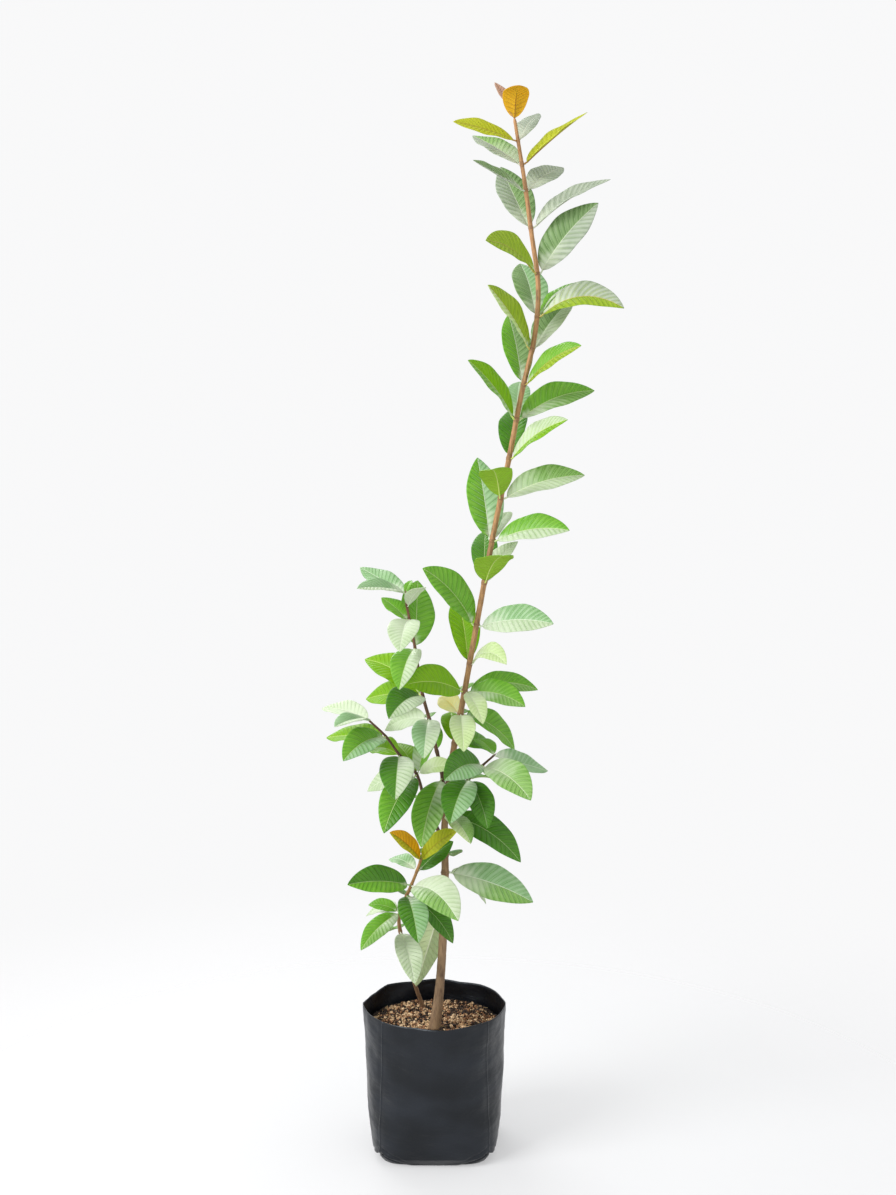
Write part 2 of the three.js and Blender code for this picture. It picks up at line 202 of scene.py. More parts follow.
class NodeSheet:
    """The node tree of one material."""

    # Places of the sockets on a Mix node that mixes colours.
    MIX_SHARE, MIX_FIRST, MIX_SECOND, MIX_RESULT = 0, 6, 7, 2

    def __init__(self, name: str) -> None:
        """Starts an empty material.

        Args:
            name: The material's name.
        """
        self.material = bpy.data.materials.new(name)
        self.material.use_nodes = True
        self.tree = self.material.node_tree
        self.tree.nodes.clear()

    def node(
        self,
        kind: str,
        settings: Mapping[str, Any] | None = None,
        inputs: Mapping[str | int, Any] | None = None,
    ) -> bpy.types.Node:
        """Adds a node.

        Args:
            kind: The node's type name.
            settings: Properties to set first.
            inputs: Numbers, colours or links for its sockets, by name or place.

        Returns:
            The node.
        """
        made = self.tree.nodes.new(kind)
        for key, value in (settings or {}).items():
            setattr(made, key, value)
        for key, value in (inputs or {}).items():
            if isinstance(value, Value):
                self.tree.links.new(value.socket, made.inputs[key])
            else:
                made.inputs[key].default_value = value
        return made

    def math(self, operation: str, *values: Value | float) -> Value:
        """A Math node on up to three values."""
        node = self.node("ShaderNodeMath", {"operation": operation}, dict(enumerate(values)))
        return Value(self, node.outputs[0])

    def mix(self, share: Value | float, first: Value | Colour, second: Value | Colour) -> Value:
        """Mixes two colours.

        Args:
            share: How much of the second colour there is, from 0 to 1.
            first: The colour at a share of 0.
            second: The colour at a share of 1.

        Returns:
            The mixed colour.
        """
        inputs = {
            self.MIX_SHARE: share,
            self.MIX_FIRST: self._as_socket(first),
            self.MIX_SECOND: self._as_socket(second),
        }
        node = self.node("ShaderNodeMix", {"data_type": "RGBA"}, inputs)
        return Value(self, node.outputs[self.MIX_RESULT])

    def place(self, stretch: Colour = (1.0, 1.0, 1.0), uv: str | None = None) -> Value:
        """A place for patterns: the surface point in metres, or a spot on a piece's own map.

        Args:
            stretch: Factors along its axes.
            uv: Name of the piece's map, or None for the surface point.

        Returns:
            The place.
        """
        if uv:
            source = self.node("ShaderNodeUVMap", {"uv_map": uv}).outputs["UV"]
        else:
            source = self.node("ShaderNodeTexCoord").outputs["Object"]
        mapping = self.node("ShaderNodeMapping", None, {"Vector": Value(self, source), "Scale": stretch})
        return Value(self, mapping.outputs["Vector"])

    def axis(self, vector: Value, letter: str) -> Value:
        """One of a vector's three numbers."""
        node = self.node("ShaderNodeSeparateXYZ", None, {"Vector": vector})
        return Value(self, node.outputs[letter])

    def noise(self, vector: Value, scale: float, detail: float = 3.0, rough: float = 0.55) -> Value:
        """Cloudy noise from 0 to 1."""
        inputs = {"Vector": vector, "Scale": scale, "Detail": detail, "Roughness": rough}
        return Value(self, self.node("ShaderNodeTexNoise", None, inputs).outputs["Fac"])

    def cells(self, vector: Value, scale: float, feature: str = "F1") -> Value:
        """Splits space into cells.

        Args:
            vector: The place.
            scale: How many cells there are to a unit.
            feature: What is measured: F1 for a cell's point, or its edge.

        Returns:
            The distance to the nearest of them.
        """
        inputs = {"Vector": vector, "Scale": scale}
        node = self.node("ShaderNodeTexVoronoi", {"feature": feature}, inputs)
        return Value(self, node.outputs["Distance"])

    def bump(self, height: Value, strength: float, distance: float) -> Value:
        """A surface normal that follows a height."""
        inputs = {"Height": height, "Strength": strength, "Distance": distance}
        return Value(self, self.node("ShaderNodeBump", None, inputs).outputs["Normal"])

    def finish(
        self, through: float = 0.0, glow: Value | Colour = (0, 0, 0), **inputs: Any
    ) -> bpy.types.Material:
        """Closes the material with its surface shader.

        Args:
            through: Share of the light that passes through a thin blade.
            glow: Colour of that light.
            **inputs: Sockets of the surface shader, with underscores for spaces.

        Returns:
            The material.
        """
        sockets = {key.replace("_", " "): self._as_socket(value) for key, value in inputs.items()}
        shader = self.node("ShaderNodeBsdfPrincipled", None, sockets)
        surface = Value(self, shader.outputs["BSDF"])
        if through:
            thin = self.node("ShaderNodeBsdfTranslucent", None, {"Color": self._as_socket(glow)})
            mixed = self.node(
                "ShaderNodeMixShader", None, {0: through, 1: surface, 2: Value(self, thin.outputs[0])}
            )
            surface = Value(self, mixed.outputs[0])
        self.node("ShaderNodeOutputMaterial", None, {"Surface": surface})
        return self.material

    @staticmethod
    def _as_socket(value: Any) -> Any:
        """A colour as a socket takes it, and anything else as it is."""
        return (*value, 1.0) if isinstance(value, tuple) and len(value) == 3 else value


# ------------------------------------------------------------------ meshes


def add_object(name: str, data: bpy.types.ID) -> bpy.types.Object:
    """Puts an object into the scene.

    Args:
        name: The object's name.
        data: Its mesh, lamp or camera.

    Returns:
        The object.
    """
    made = bpy.data.objects.new(name, data)
    bpy.context.scene.collection.objects.link(made)
    return made


def close_mesh(
    name: str, bm: bmesh.types.BMesh, materials: Sequence[bpy.types.Material] = ()
) -> bpy.types.Mesh:
    """Turns a finished bmesh into a mesh.

    Args:
        name: The mesh's name.
        bm: The bmesh, which is used up.
        materials: One material for each material number of its faces.

    Returns:
        The mesh.
    """
    mesh = bpy.data.meshes.new(name)
    bm.to_mesh(mesh)
    bm.free()
    for material in materials:
        mesh.materials.append(material)
    return mesh


def make_piece(
    name: str,
    bm: bmesh.types.BMesh,
    materials: Sequence[bpy.types.Material],
    slot: str,
    nodes: Iterable[str] = (),
    smooth_faces: bool = True,
) -> bpy.types.Object:
    """slot: The record's material slot for its finish; it is not used.
        nodes: The solids that it stands for.
        smooth_faces: Whether its faces are shaded smoothly.

    Returns:
        The object, at the origin, with its place in its mesh.
    """
    bmesh.ops.scale(bm, vec=(MM, MM, MM), verts=bm.verts)
    for face in bm.faces:
        face.smooth = smooth_faces
    piece = add_object(name, close_mesh(name, bm, materials))
    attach(piece, BODY)
    if nodes:
        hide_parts(*nodes)
    return piece


def mark_faces(bm: bmesh.types.BMesh, first: int, number: int) -> None:
    """Gives a material number to the faces from a place in the mesh's list on."""
    bm.faces.ensure_lookup_table()
    for face in bm.faces[first:]:
        face.material_index = number


def numbered_grid(
    bm: bmesh.types.BMesh, columns: int, rows: int
) -> list[tuple[bmesh.types.BMVert, int, int]]:
    """Adds a flat square grid.

    Args:
        bm: The mesh to add to.
        columns: How many columns of vertices it has.
        rows: How many rows of vertices it has.

    Returns:
        Each vertex with the numbers of its column and its row, counted from zero.
    """
    made = bmesh.ops.create_grid(bm, x_segments=columns - 1, y_segments=rows - 1, size=1.0)["verts"]
    return [
        (vert, round((vert.co.x + 1) / 2 * (columns - 1)), round((vert.co.y + 1) / 2 * (rows - 1)))
        for vert in made
    ]


def wrapped_grid(
    bm: bmesh.types.BMesh, columns: Sequence[float], rows: Sequence[float], place: Place
) -> None:
    """Adds a sheet that closes on itself round an axis, with its two ends filled.

    Args:
        bm: The mesh to add to.
        columns: Turns round the axis, from 0 up to 1, where the sheet meets itself.
        rows: Values along the axis.
        place: Gives the point for a turn and a row value.
    """
    made = []
    for vert, column, row in numbered_grid(bm, len(columns), len(rows)):
        vert.co = place(columns[column], rows[row])
        made.append(vert)
    bmesh.ops.remove_doubles(bm, verts=made, dist=MERGE_GAP)
    kept = [v for v in made if v.is_valid]
    rims = [e for v in kept for e in v.link_edges if e.is_boundary]
    bmesh.ops.holes_fill(bm, edges=list(set(rims)), sides=0)


# ------------------------------------------------------------------ limbs


@dataclass
class Limb:
    """One tapering limb along a smooth path.

    Attributes:
        path: The points that its middle line passes through.
        girth: Its radius as rows of height and radius.
        line: Close points along the middle line.
        reach: How far along the limb each of those points lies, in mm.
        end: Its direction at its end.
    """

    path: Sequence[Sequence[float]]
    girth: Sequence[tuple[float, float]]
    line: np.ndarray = field(init=False)
    reach: np.ndarray = field(init=False)
    end: np.ndarray = field(init=False)

    # Steps between two points of the path, and how far each way a direction is taken over, in mm.
    STEPS = 24
    GAP = 1.5

    def __post_init__(self) -> None:
        """Works out the middle line, as a centripetal curve through the path's points."""
        points = [np.array(p, float) for p in self.path]
        points = [2 * points[0] - points[1], *points, 2 * points[-1] - points[-2]]
        line = [
            self._between(*points[i : i + 4], step / self.STEPS)
            for i in range(len(points) - 3)
            for step in range(self.STEPS)
        ]
        self.line = np.array([*line, points[-2]])
        lengths = np.linalg.norm(np.diff(self.line, axis=0), axis=1)
        self.reach = np.concatenate([[0.0], np.cumsum(lengths)])
        self.end = self.axes(self.length)[2]

    @staticmethod
    def _between(
        before: np.ndarray, start: np.ndarray, end: np.ndarray, after: np.ndarray, share: float
    ) -> np.ndarray:
        """A point of the curve on one stretch of the path.

        Args:
            before: The path's point before the stretch.
            start: The point that the stretch starts from.
            end: The point that it runs to.
            after: The path's point after it.
            share: How far along the stretch the point lies, from 0 to 1.

        Returns:
            The point.
        """
        spans = [math.sqrt(np.linalg.norm(b - a)) for a, b in ((before, start), (start, end), (end, after))]
        leave = (start - before) / spans[0] - (end - before) / (spans[0] + spans[1])
        leave = (leave + (end - start) / spans[1]) * spans[1]
        arrive = (end - start) / spans[1] - (after - start) / (spans[1] + spans[2])
        arrive = (arrive + (after - end) / spans[2]) * spans[1]
        cubic = 2 * start - 2 * end + leave + arrive
        square = -3 * start + 3 * end - 2 * leave - arrive
        return start + share * (leave + share * (square + share * cubic))

    @property
    def length(self) -> float:
        """Length along the middle line."""
        return float(self.reach[-1])

    def centre(self, reach: float) -> np.ndarray:
        """The middle line's point at a distance along it."""
        return np.array([np.interp(reach, self.reach, self.line[:, k]) for k in range(3)])

    def reach_at(self, height: float) -> float:
        """The distance along the limb at which it passes a height."""
        return float(np.interp(height, self.line[:, 2], self.reach))

    def radius(self, height: float) -> float:
        """The limb's radius at a height."""
        return float(np.interp(height, *zip(*self.girth)))

    def axes(self, reach: float) -> tuple[np.ndarray, np.ndarray, np.ndarray]:
        """The limb's own directions at a place.

        Args:
            reach: The place's distance along the limb, in mm.

        Returns:
            The side, depth and forward directions.
        """
        forward = self.centre(min(reach + self.GAP, self.length)) - self.centre(max(reach - self.GAP, 0))
        forward = UP if reach <= 0 else unit(forward)
        deep = unit(BACKWARD - forward * forward[1])
        return np.cross(forward, deep), deep, forward


# ------------------------------------------------------------------ leaf tones and plans


class Tone(Enum):
    """The leaf colours that the plant shows, from its oldest leaves to its buds. The bluish, pale, white and
    grey tones are painted sheen, light mirrored by a glossy blade painted into its colour, and the gold tone
    is lightened by a painted glow of light shining through the leaf.
    """

    DEEP = "deep"
    MID = "mid"
    DUSTY = "dusty"
    LIME = "lime"
    # The next four tones are painted sheen: a bluish, pale, whitish or grey reflection of light painted into
    # a glossy blade's colour.
    BLUISH = "bluish"
    PALE = "pale"
    WHITE = "white"
    GREY = "grey"
    OLIVE = "olive"
    SPRING = "spring"
    AMBER = "amber"
    ROSE = "rose"
    CREAM = "cream"
    # Painted glow: a yellow leaf lightened as if light shone through it.
    GOLD = "gold"


DEEP, MID, DUSTY, LIME, BLUISH, PALE, WHITE, GREY, OLIVE, SPRING, AMBER, ROSE, CREAM, GOLD = Tone
YOUNG_TONES = (SPRING, AMBER, ROSE)
# The tones that are mostly painted sheen, a whitish or grey reflection of light painted into a blade's
# colour.
PAINTED_SHEEN_TONES = (WHITE, GREY, PALE)
# A leaf whose two halves differ in tone has light painted on it: one half carries a painted sheen, the other
# a darker green, as if turned from the light.
Coat = tuple[Tone, Tone]


@dataclass(frozen=True)
class LeafPlan:
    """Where a leaf's tip lies from its node, and how the leaf is set.

    Attributes:
        tone: Its colour, or that of its left half.
        bearing: Degrees round the plant, 0 to the right and 90 to the back.
        rise: Degrees above level.
        length: Millimetres from node to tip.
        roll: Degrees that it is turned about its midrib.
        arch: How far it bows upward, as a share of its length.
        breadth: Its width as a share of its length.
        right: Colour of its right half, if that differs; such a half is mostly painted light, a painted
            sheen on the half that faces the light or a darker green on the half turned from it.
    """

    tone: Tone
    bearing: float
    rise: float
    length: float
    roll: float = 0.0
    arch: float = 0.1
    breadth: float = 0.42
    right: Tone | None = None

    @property
    def coat(self) -> Coat:
        """The tones of its left and right halves."""
        return self.tone, self.right or self.tone


@dataclass(frozen=True)
class Shoot:
    """One limb with the leaves on it.

    Attributes:
        name: The limb's node.
        path: The points that the limb passes through.
        girth: Its radius as rows of height and radius.
        nodes: The leaves of each node, by the node's height.
        tip_leaves: The leaves of its end bud.
    """

    name: str
    path: Sequence[Sequence[float]]
    girth: Sequence[tuple[float, float]]
    nodes: Mapping[float, Sequence[LeafPlan]]
    tip_leaves: Sequence[LeafPlan]

    def limb(self) -> Limb:
        """The limb that carries the leaves."""
        return Limb(self.path, self.girth)


leaf = LeafPlan
STEM_FOOT = 178.3

LEADER = Shoot(
    name="trunk",
    path=[
        [0, -25, STEM_FOOT], [6, -22, 225], [10, -18, 276], [15, -10, 404], [14, -6, 462], [22, -2, 546],
        [39, 0, 640], [58, 6, 746], [83, 8, 883], [103, 4, 982], [119, 0, 1068], [137, -4, 1150],
        [141, -4, 1215], [132, -2, 1282], [122, 0, 1353], [109, 0, 1430],
    ],
    girth=[
        (178, 9.3), (186, 8.4), (205, 7.2), (245, 6.3), (404, 5.2), (520, 4.6), (650, 4.0), (900, 3.6),
        (1200, 3.2), (1350, 2.8), (1430, 2.1),
    ],
    nodes={
        345: [leaf(CREAM, 180, -70, 116, 60, 0, 0.46, PALE)],
        401: [leaf(BLUISH, -8, -17, 130, 45, 0.05, 0.44, PALE), leaf(WHITE, 30, -40, 88, 40)],
        426: [leaf(MID, 112, -13, 94, 0, 0.05), leaf(DEEP, 82, -17, 92, 0, 0.05)],
        482: [
            leaf(DEEP, -23, -26, 126, 30), leaf(PALE, -65, -14, 85, 0, 0.1, 0.42, CREAM),
            leaf(MID, 116, -14, 94, 0, 0.05),
        ],
        540: [leaf(MID, 152, -6, 80), leaf(DEEP, 86, -14, 98, 0, 0.05)],
        584: [leaf(LIME, 94, 20, 85), leaf(MID, 38, -14, 74, 42, 0.1, 0.5)],
        625: [
            leaf(CREAM, -87, -24, 88, 0, 0.1, 0.46), leaf(MID, 26, -34, 104, 48, 0.1, 0.46),
            leaf(GOLD, 124, 16, 56, -35, 0.1, 0.6), leaf(MID, 74, -12, 98, 0, 0.05),
        ],
        657: [
            leaf(LIME, -136, 12, 112, -52, 0.08, 0.5), leaf(MID, 8, 0, 104, 38, 0.12, 0.4, PALE),
            leaf(MID, -24, -9, 92, 42, 0.1, 0.48, PALE), leaf(CREAM, -66, -30, 70, 10, 0.1, 0.46),
            leaf(MID, 96, -9, 100, 0, 0.05),
        ],
        696: [leaf(LIME, 102, 46, 116, 0, 0.1, 0.42), leaf(CREAM, -46, 6, 72, 35, 0.25, 0.5)],
        749: [leaf(MID, -151, 45, 120, -68, 0.08, 0.46), leaf(BLUISH, -28, 5, 118, 50, 0.07, 0.42, WHITE)],
        810: [
            leaf(LIME, -72, 27, 98, 0, 0.12, 0.56), leaf(DEEP, 88, 36, 110, 0, 0.1, 0.36),
            leaf(WHITE, 32, 44, 78, 25),
        ],
        868: [
            leaf(MID, 116, 68, 122, -15, 0.03, 0.45, BLUISH), leaf(MID, -30, 9, 120, 45, 0.08, 0.42, WHITE),
            leaf(WHITE, 66, 28, 76),
        ],
        927: [leaf(LIME, -101, 26, 96, 10, 0.15, 0.5), leaf(PALE, 2, 15, 120, 45, 0.07, 0.42, WHITE)],
        982: [leaf(DEEP, 79, 38, 112, 0, 0.1, 0.4), leaf(WHITE, -38, 29, 110, 48, 0.08, 0.42, LIME)],
        1035: [
            leaf(PALE, -140, 42, 118, -58, 0.06, 0.44, LIME), leaf(MID, 16, 19, 120, 44, 0.09, 0.42, PALE),
            leaf(BLUISH, 84, 36, 88),
        ],
        1083: [leaf(MID, 107, 56, 116, 0, 0.06, 0.4, DUSTY), leaf(MID, -42, 27, 110, 50, 0.08, 0.42, OLIVE)],
        1129: [
            leaf(CREAM, -140, 46, 116, -62, 0.05, 0.44, OLIVE),
            leaf(DUSTY, 42, 42, 108, 20, 0.06, 0.42, WHITE),
        ],
        1174: [
            leaf(DUSTY, 104, 43, 112, 0, 0.08, 0.46, BLUISH), leaf(GREY, -22, 4, 122, 46, 0.18, 0.42, OLIVE),
            leaf(MID, 24, 36, 82),
        ],
        1231: [leaf(DUSTY, 0, 49, 124, 60, 0.05, 0.46, GREY), leaf(OLIVE, -128, 17, 122, -60, 0.09, 0.42)],
        1292: [leaf(GREY, 120, 49, 118, -20, 0, 0.44, DUSTY), leaf(GREY, 5, 31, 126, 22, 0.06, 0.36)],
        1341: [leaf(GREY, -134, 16, 108, -38, 0, 0.42, DUSTY), leaf(GREY, 52, 24, 98, 25, 0.06)],
        1376: [leaf(SPRING, 12, 38, 115, 9, 0.02, 0.38), leaf(GREY, 135, 27, 104, -20, 0.03, 0.42, PALE)],
        1407: [leaf(SPRING, -156, 11, 97, -42, 0.03, 0.38), leaf(GREY, 66, 32, 88, 0, 0.05, 0.38)],
    },
    tip_leaves=[leaf(AMBER, -85, 41, 57, 0, 0.2, 0.68), leaf(ROSE, 127, 52, 70, 0, 0.05, 0.36)],
)

BASAL_STEM = Shoot(
    name="basal_stem",
    path=[
        [-17, 55, STEM_FOOT], [-27, 40, 213], [-41, 15, 272], [-49, -6, 316], [-50, -14, 336],
        [-42, -22, 364], [-33, -28, 386], [-24, -32, 410], [-20, -34, 422],
    ],
    girth=[(178, 4.0), (190, 3.1), (320, 2.6), (422, 1.9)],
    nodes={
        314: [leaf(WHITE, -75, -29, 98), leaf(MID, 104, -18, 84, 0, 0.05)],
        345: [
            leaf(PALE, -127, -20, 92, -20, 0.08, 0.36, MID), leaf(WHITE, 133, -17, 78, -30),
            leaf(MID, 176, 12, 46, -40, 0.1, 0.5),
        ],
        373: [
            leaf(BLUISH, -80, -20, 107, 0, 0.1, 0.42, DEEP), leaf(DEEP, -30, -38, 94, 20),
            leaf(DEEP, 94, -17, 88, 0, 0.05),
        ],
        388: [
            leaf(MID, -145, 10, 106, -48, 0.05, 0.46, DEEP),
            leaf(WHITE, -56, -10, 118, 25, 0.14, 0.48, PALE),
        ],
        409: [leaf(DEEP, 22, 34, 66, 45, 0.05, 0.5), leaf(BLUISH, 128, 2, 66, -20)],
    },
    tip_leaves=[
        leaf(SPRING, -142, 42, 72, -58, 0.05, 0.46, AMBER), leaf(SPRING, -32, 40, 78, 58, 0.05, 0.44),
    ],
)

UPPER_LEFT_BOUGH = Shoot(
    name="upper_left_bough",
    path=[
        [16, -5, 492], [10, -10, 545], [0, -15, 590], [-7, -18, 622], [-17, -20, 660], [-26, -20, 719],
        [-35, -18, 766], [-38, -16, 782], [-39, -15, 793],
    ],
    girth=[(492, 3.0), (620, 2.4), (793, 1.6)],
    nodes={
        536: [leaf(PALE, -110, -43, 114, 0, 0.1, 0.44, MID)],
        575: [leaf(MID, 102, 28, 64, 0, 0.1, 0.44)],
        622: [
            leaf(WHITE, 146, -18, 80, -50, 0.1, 0.48), leaf(WHITE, -94, -22, 97, 0, 0.1, 0.44, BLUISH),
            leaf(MID, 100, -11, 90, 0, 0.05),
        ],
        655: [
            leaf(WHITE, -115, -8, 104, -24, 0.1, 0.48, DEEP), leaf(LIME, 142, -9, 105, -46, 0.05, 0.46),
            leaf(LIME, 142, 21, 113, -38, 0.1, 0.46),
        ],
        721: [leaf(MID, 88, 49, 114, 24, 0.06, 0.48), leaf(WHITE, -102, -24, 102, 0, 0.1, 0.44, MID)],
        761: [leaf(MID, 144, 29, 56, -22, 0.04, 0.52), leaf(WHITE, -98, -22, 87, 0, 0.12, 0.54)],
        779: [leaf(WHITE, -62, 30, 64)],
    },
    tip_leaves=[
        leaf(BLUISH, 138, 19, 93, -20, 0.0, 0.42), leaf(WHITE, -134, 9, 92, -24, 0.05, 0.42, BLUISH),
        leaf(MID, 70, 34, 28),
    ],
)

LOWER_LEFT_BOUGH = Shoot(
    name="lower_left_bough",
    path=[
        [14, -8, 440], [2, -13, 470], [-13, -19, 505], [-25, -25, 546], [-48, -28, 573],
        [-67, -30, 600], [-87, -32, 620],
    ],
    girth=[(440, 2.9), (540, 2.1), (620, 1.5)],
    nodes={
        510: [leaf(MID, 158, -16, 52)],
        545: [
            leaf(DEEP, -116, -32, 114, -20, 0.1, 0.44, MID), leaf(LIME, 115, 20, 85),
            leaf(CREAM, -15, 14, 58, 45, 0.1, 0.5), leaf(WHITE, 160, -22, 80, -50, 0.1, 0.46),
            leaf(PALE, 68, 37, 78, 0, 0.1, 0.42, MID),
        ],
        573: [leaf(WHITE, -92, -23, 102, 0, 0.1, 0.5, DEEP), leaf(LIME, 128, -4, 70, -35, 0.1, 0.55)],
        600: [leaf(BLUISH, -122, -9, 102, -28, 0.1, 0.48, MID), leaf(LIME, 144, -8, 108, -25, 0.03)],
    },
    tip_leaves=[leaf(WHITE, 138, 3, 94, -20, 0.06), leaf(WHITE, -119, 4, 87, -10, 0.06, 0.42, BLUISH)],
)

RIGHT_BOUGH = Shoot(
    name="right_bough",
    path=[[17, -4, 500], [34, -14, 522], [50, -22, 540], [69, -30, 561], [80, -35, 572]],
    girth=[(500, 2.6), (572, 1.4)],
    nodes={
        538: [
            leaf(BLUISH, -107, -25, 98, -10, 0.1, 0.52, DEEP), leaf(DEEP, -68, -40, 86, 10, 0.1, 0.48),
            leaf(MID, 60, -14, 90, 0, 0.05),
        ],
        559: [leaf(BLUISH, -122, -1, 100, -46, 0.1, 0.52, DEEP), leaf(PALE, -54, -15, 110, 25, 0.1, 0.5)],
    },
    tip_leaves=[leaf(BLUISH, 36, -20, 102, 38, 0.0, 0.42), leaf(MID, 118, 12, 58, 0, 0.1, 0.5)],
)

SHOOTS = [LEADER, BASAL_STEM, UPPER_LEFT_BOUGH, LOWER_LEFT_BOUGH, RIGHT_BOUGH]


# ------------------------------------------------------------------ leaf finishes


class LeafFace(Enum):
    """The faces of a leaf that have a finish of their own, by material number."""

    # The upper blade's two halves take finishes of their own, so that one half can carry painted sheen.
    LEFT = 0
    RIGHT = 1
    UNDER = 2
    VEIN = 3
    MIDRIB = 4


@dataclass(frozen=True)
class LeafFinish:
    """The finish of a blade of one tone.

    Attributes:
        tone: The tone that it is for.
        upper: Colour of the upper blade.
        light: Lighter colour of its bands between the side veins, a painted sheen where the swollen blade
            would catch the light, and of the light that shines through it.
        under: Colour of the underside.
        vein: Colour of the side veins.
        midrib: Colour of the midrib and stalk.
        sheen_bands: How strongly the light bands of painted sheen show, from 0 to 1.
        base_sheen: How far the painted sheen at the leaf's base, a pale highlight, reaches, as a share of
            its length.
        gloss: Roughness of the upper blade.
        through: Share of light that shines through the blade.
    """

    tone: Tone
    upper: str
    light: str
    under: str
    vein: str
    midrib: str
    sheen_bands: float = 0.5
    base_sheen: float = 0.25
    gloss: float = 0.3
    through: float = 0.25

    # The painted sheen at the leaf's base, a pale highlight: its colour, its strength, and how far it slants
    # and how ragged its end is, as shares of the leaf's length. The net of small veins: its stretch on the
    # leaf's map, and its scale.
    BASE_SHEEN_COLOUR = "#e0e9d3"
    BASE_SHEEN_STRENGTH = 0.85
    BASE_SHEEN_SLANT = 0.22
    BASE_SHEEN_RAGGED = 0.12
    NET_STRETCH = (9.0, 2.2, 1.0)
    NET_SCALE = 1.6

    def _spot(self, sheet: NodeSheet) -> tuple[Value, Value, Value]:
        """Finds the place on the blade.

        Args:
            sheet: The material's node tree.

        Returns:
            How far along it, how far from its midrib and how far from the nearest vein that is.
        """
        blade = sheet.place(uv="Blade")
        along = sheet.axis(blade, "Y")
        beside = abs(sheet.axis(blade, "X"))
        phase = sheet.axis(sheet.place(uv="Veins"), "Y").fraction()
        return along, beside, abs(phase - 0.5) * 2.0

    def _net(self, sheet: NodeSheet, width: float) -> Value:
        """The net of small veins: 0 on a vein, and 1 from a width away from it."""
        spot = sheet.place(self.NET_STRETCH, uv="Veins")
        return sheet.cells(spot, self.NET_SCALE, "DISTANCE_TO_EDGE").step(0.0, width)

    def upper_material(self) -> bpy.types.Material:
        """The glossy upper blade, with painted sheen in light bands along the veins and as a pale highlight
        at its base.

        Returns:
            The material.
        """
        sheet = NodeSheet(f"{self.tone.value}_blade")
        surface = sheet.place()
        along, beside, vein = self._spot(sheet)
        net = self._net(sheet, 0.09)
        cloud = sheet.noise(surface, 48, 3).step(0.32, 0.68)
        # Painted sheen: the blade is painted lighter midway between its side veins, where its swellings
        # would catch the light.
        sheen_band = vein.step(0.15, 0.95) * self.sheen_bands
        base = sheet.mix(sheen_band + cloud * 0.3, paint(self.upper), paint(self.light))
        # Painted sheen at the leaf's base: a pale highlight painted into the blade, fading out along it with
        # a ragged end.
        ragged = self.BASE_SHEEN_RAGGED * min(1.0, 2.5 * self.base_sheen)
        reach = along + beside * self.BASE_SHEEN_SLANT - (vein + cloud) * ragged
        pale = (1.0 - reach.step(0.0, 1.4 * self.base_sheen)) * self.BASE_SHEEN_STRENGTH
        with_base_sheen = sheet.mix(pale, base, paint(self.BASE_SHEEN_COLOUR))
        colour = sheet.mix((1.0 - net) * 0.07, with_base_sheen, paint(self.vein))
        normal = sheet.bump(net * 0.4 + sheet.noise(surface, 500, 2) * 0.3, 0.08, 0.0004)
        return sheet.finish(
            through=self.through,
            glow=paint(self.light),
            Base_Color=colour,
            Roughness=self.gloss + 0.14 * sheet.noise(surface, 130, 2),
            Normal=normal,
            IOR=1.38,
        )

    def under_material(self) -> bpy.types.Material:
        """The matt, downy underside with its raised net of small veins.

        Returns:
            The material.
        """
        sheet = NodeSheet(f"{self.tone.value}_underside")
        surface = sheet.place()
        vein = self._spot(sheet)[2]
        net = self._net(sheet, 0.12)
        cloud = sheet.noise(surface, 70, 3).step(0.3, 0.7)
        base = sheet.mix(cloud * 0.25 + vein.step(0.3, 1.0) * 0.2, paint(self.under), paint(self.light))
        colour = sheet.mix((1.0 - net) * 0.2, base, paint(self.vein))
        return sheet.finish(
            through=self.through,
            glow=paint(self.light),
            Base_Color=colour,
            Roughness=0.66 + 0.1 * net,
            Normal=sheet.bump(1.0 - net, 0.25, 0.0004),
        )

    def back_materials(self) -> list[bpy.types.Material]:
        """The finishes of the leaf's back.

        Returns:
            The materials of the underside, the side veins and the midrib.
        """
        return [
            self.under_material(),
            self.rib_material("vein", self.vein),
            self.rib_material("midrib", self.midrib),
        ]

    def rib_material(self, name: str, colour: str) -> bpy.types.Material:
        """The side veins or the midrib."""
        return NodeSheet(f"{self.tone.value}_{name}").finish(
            through=0.15, glow=paint(colour), Base_Color=paint(colour), Roughness=0.38
        )


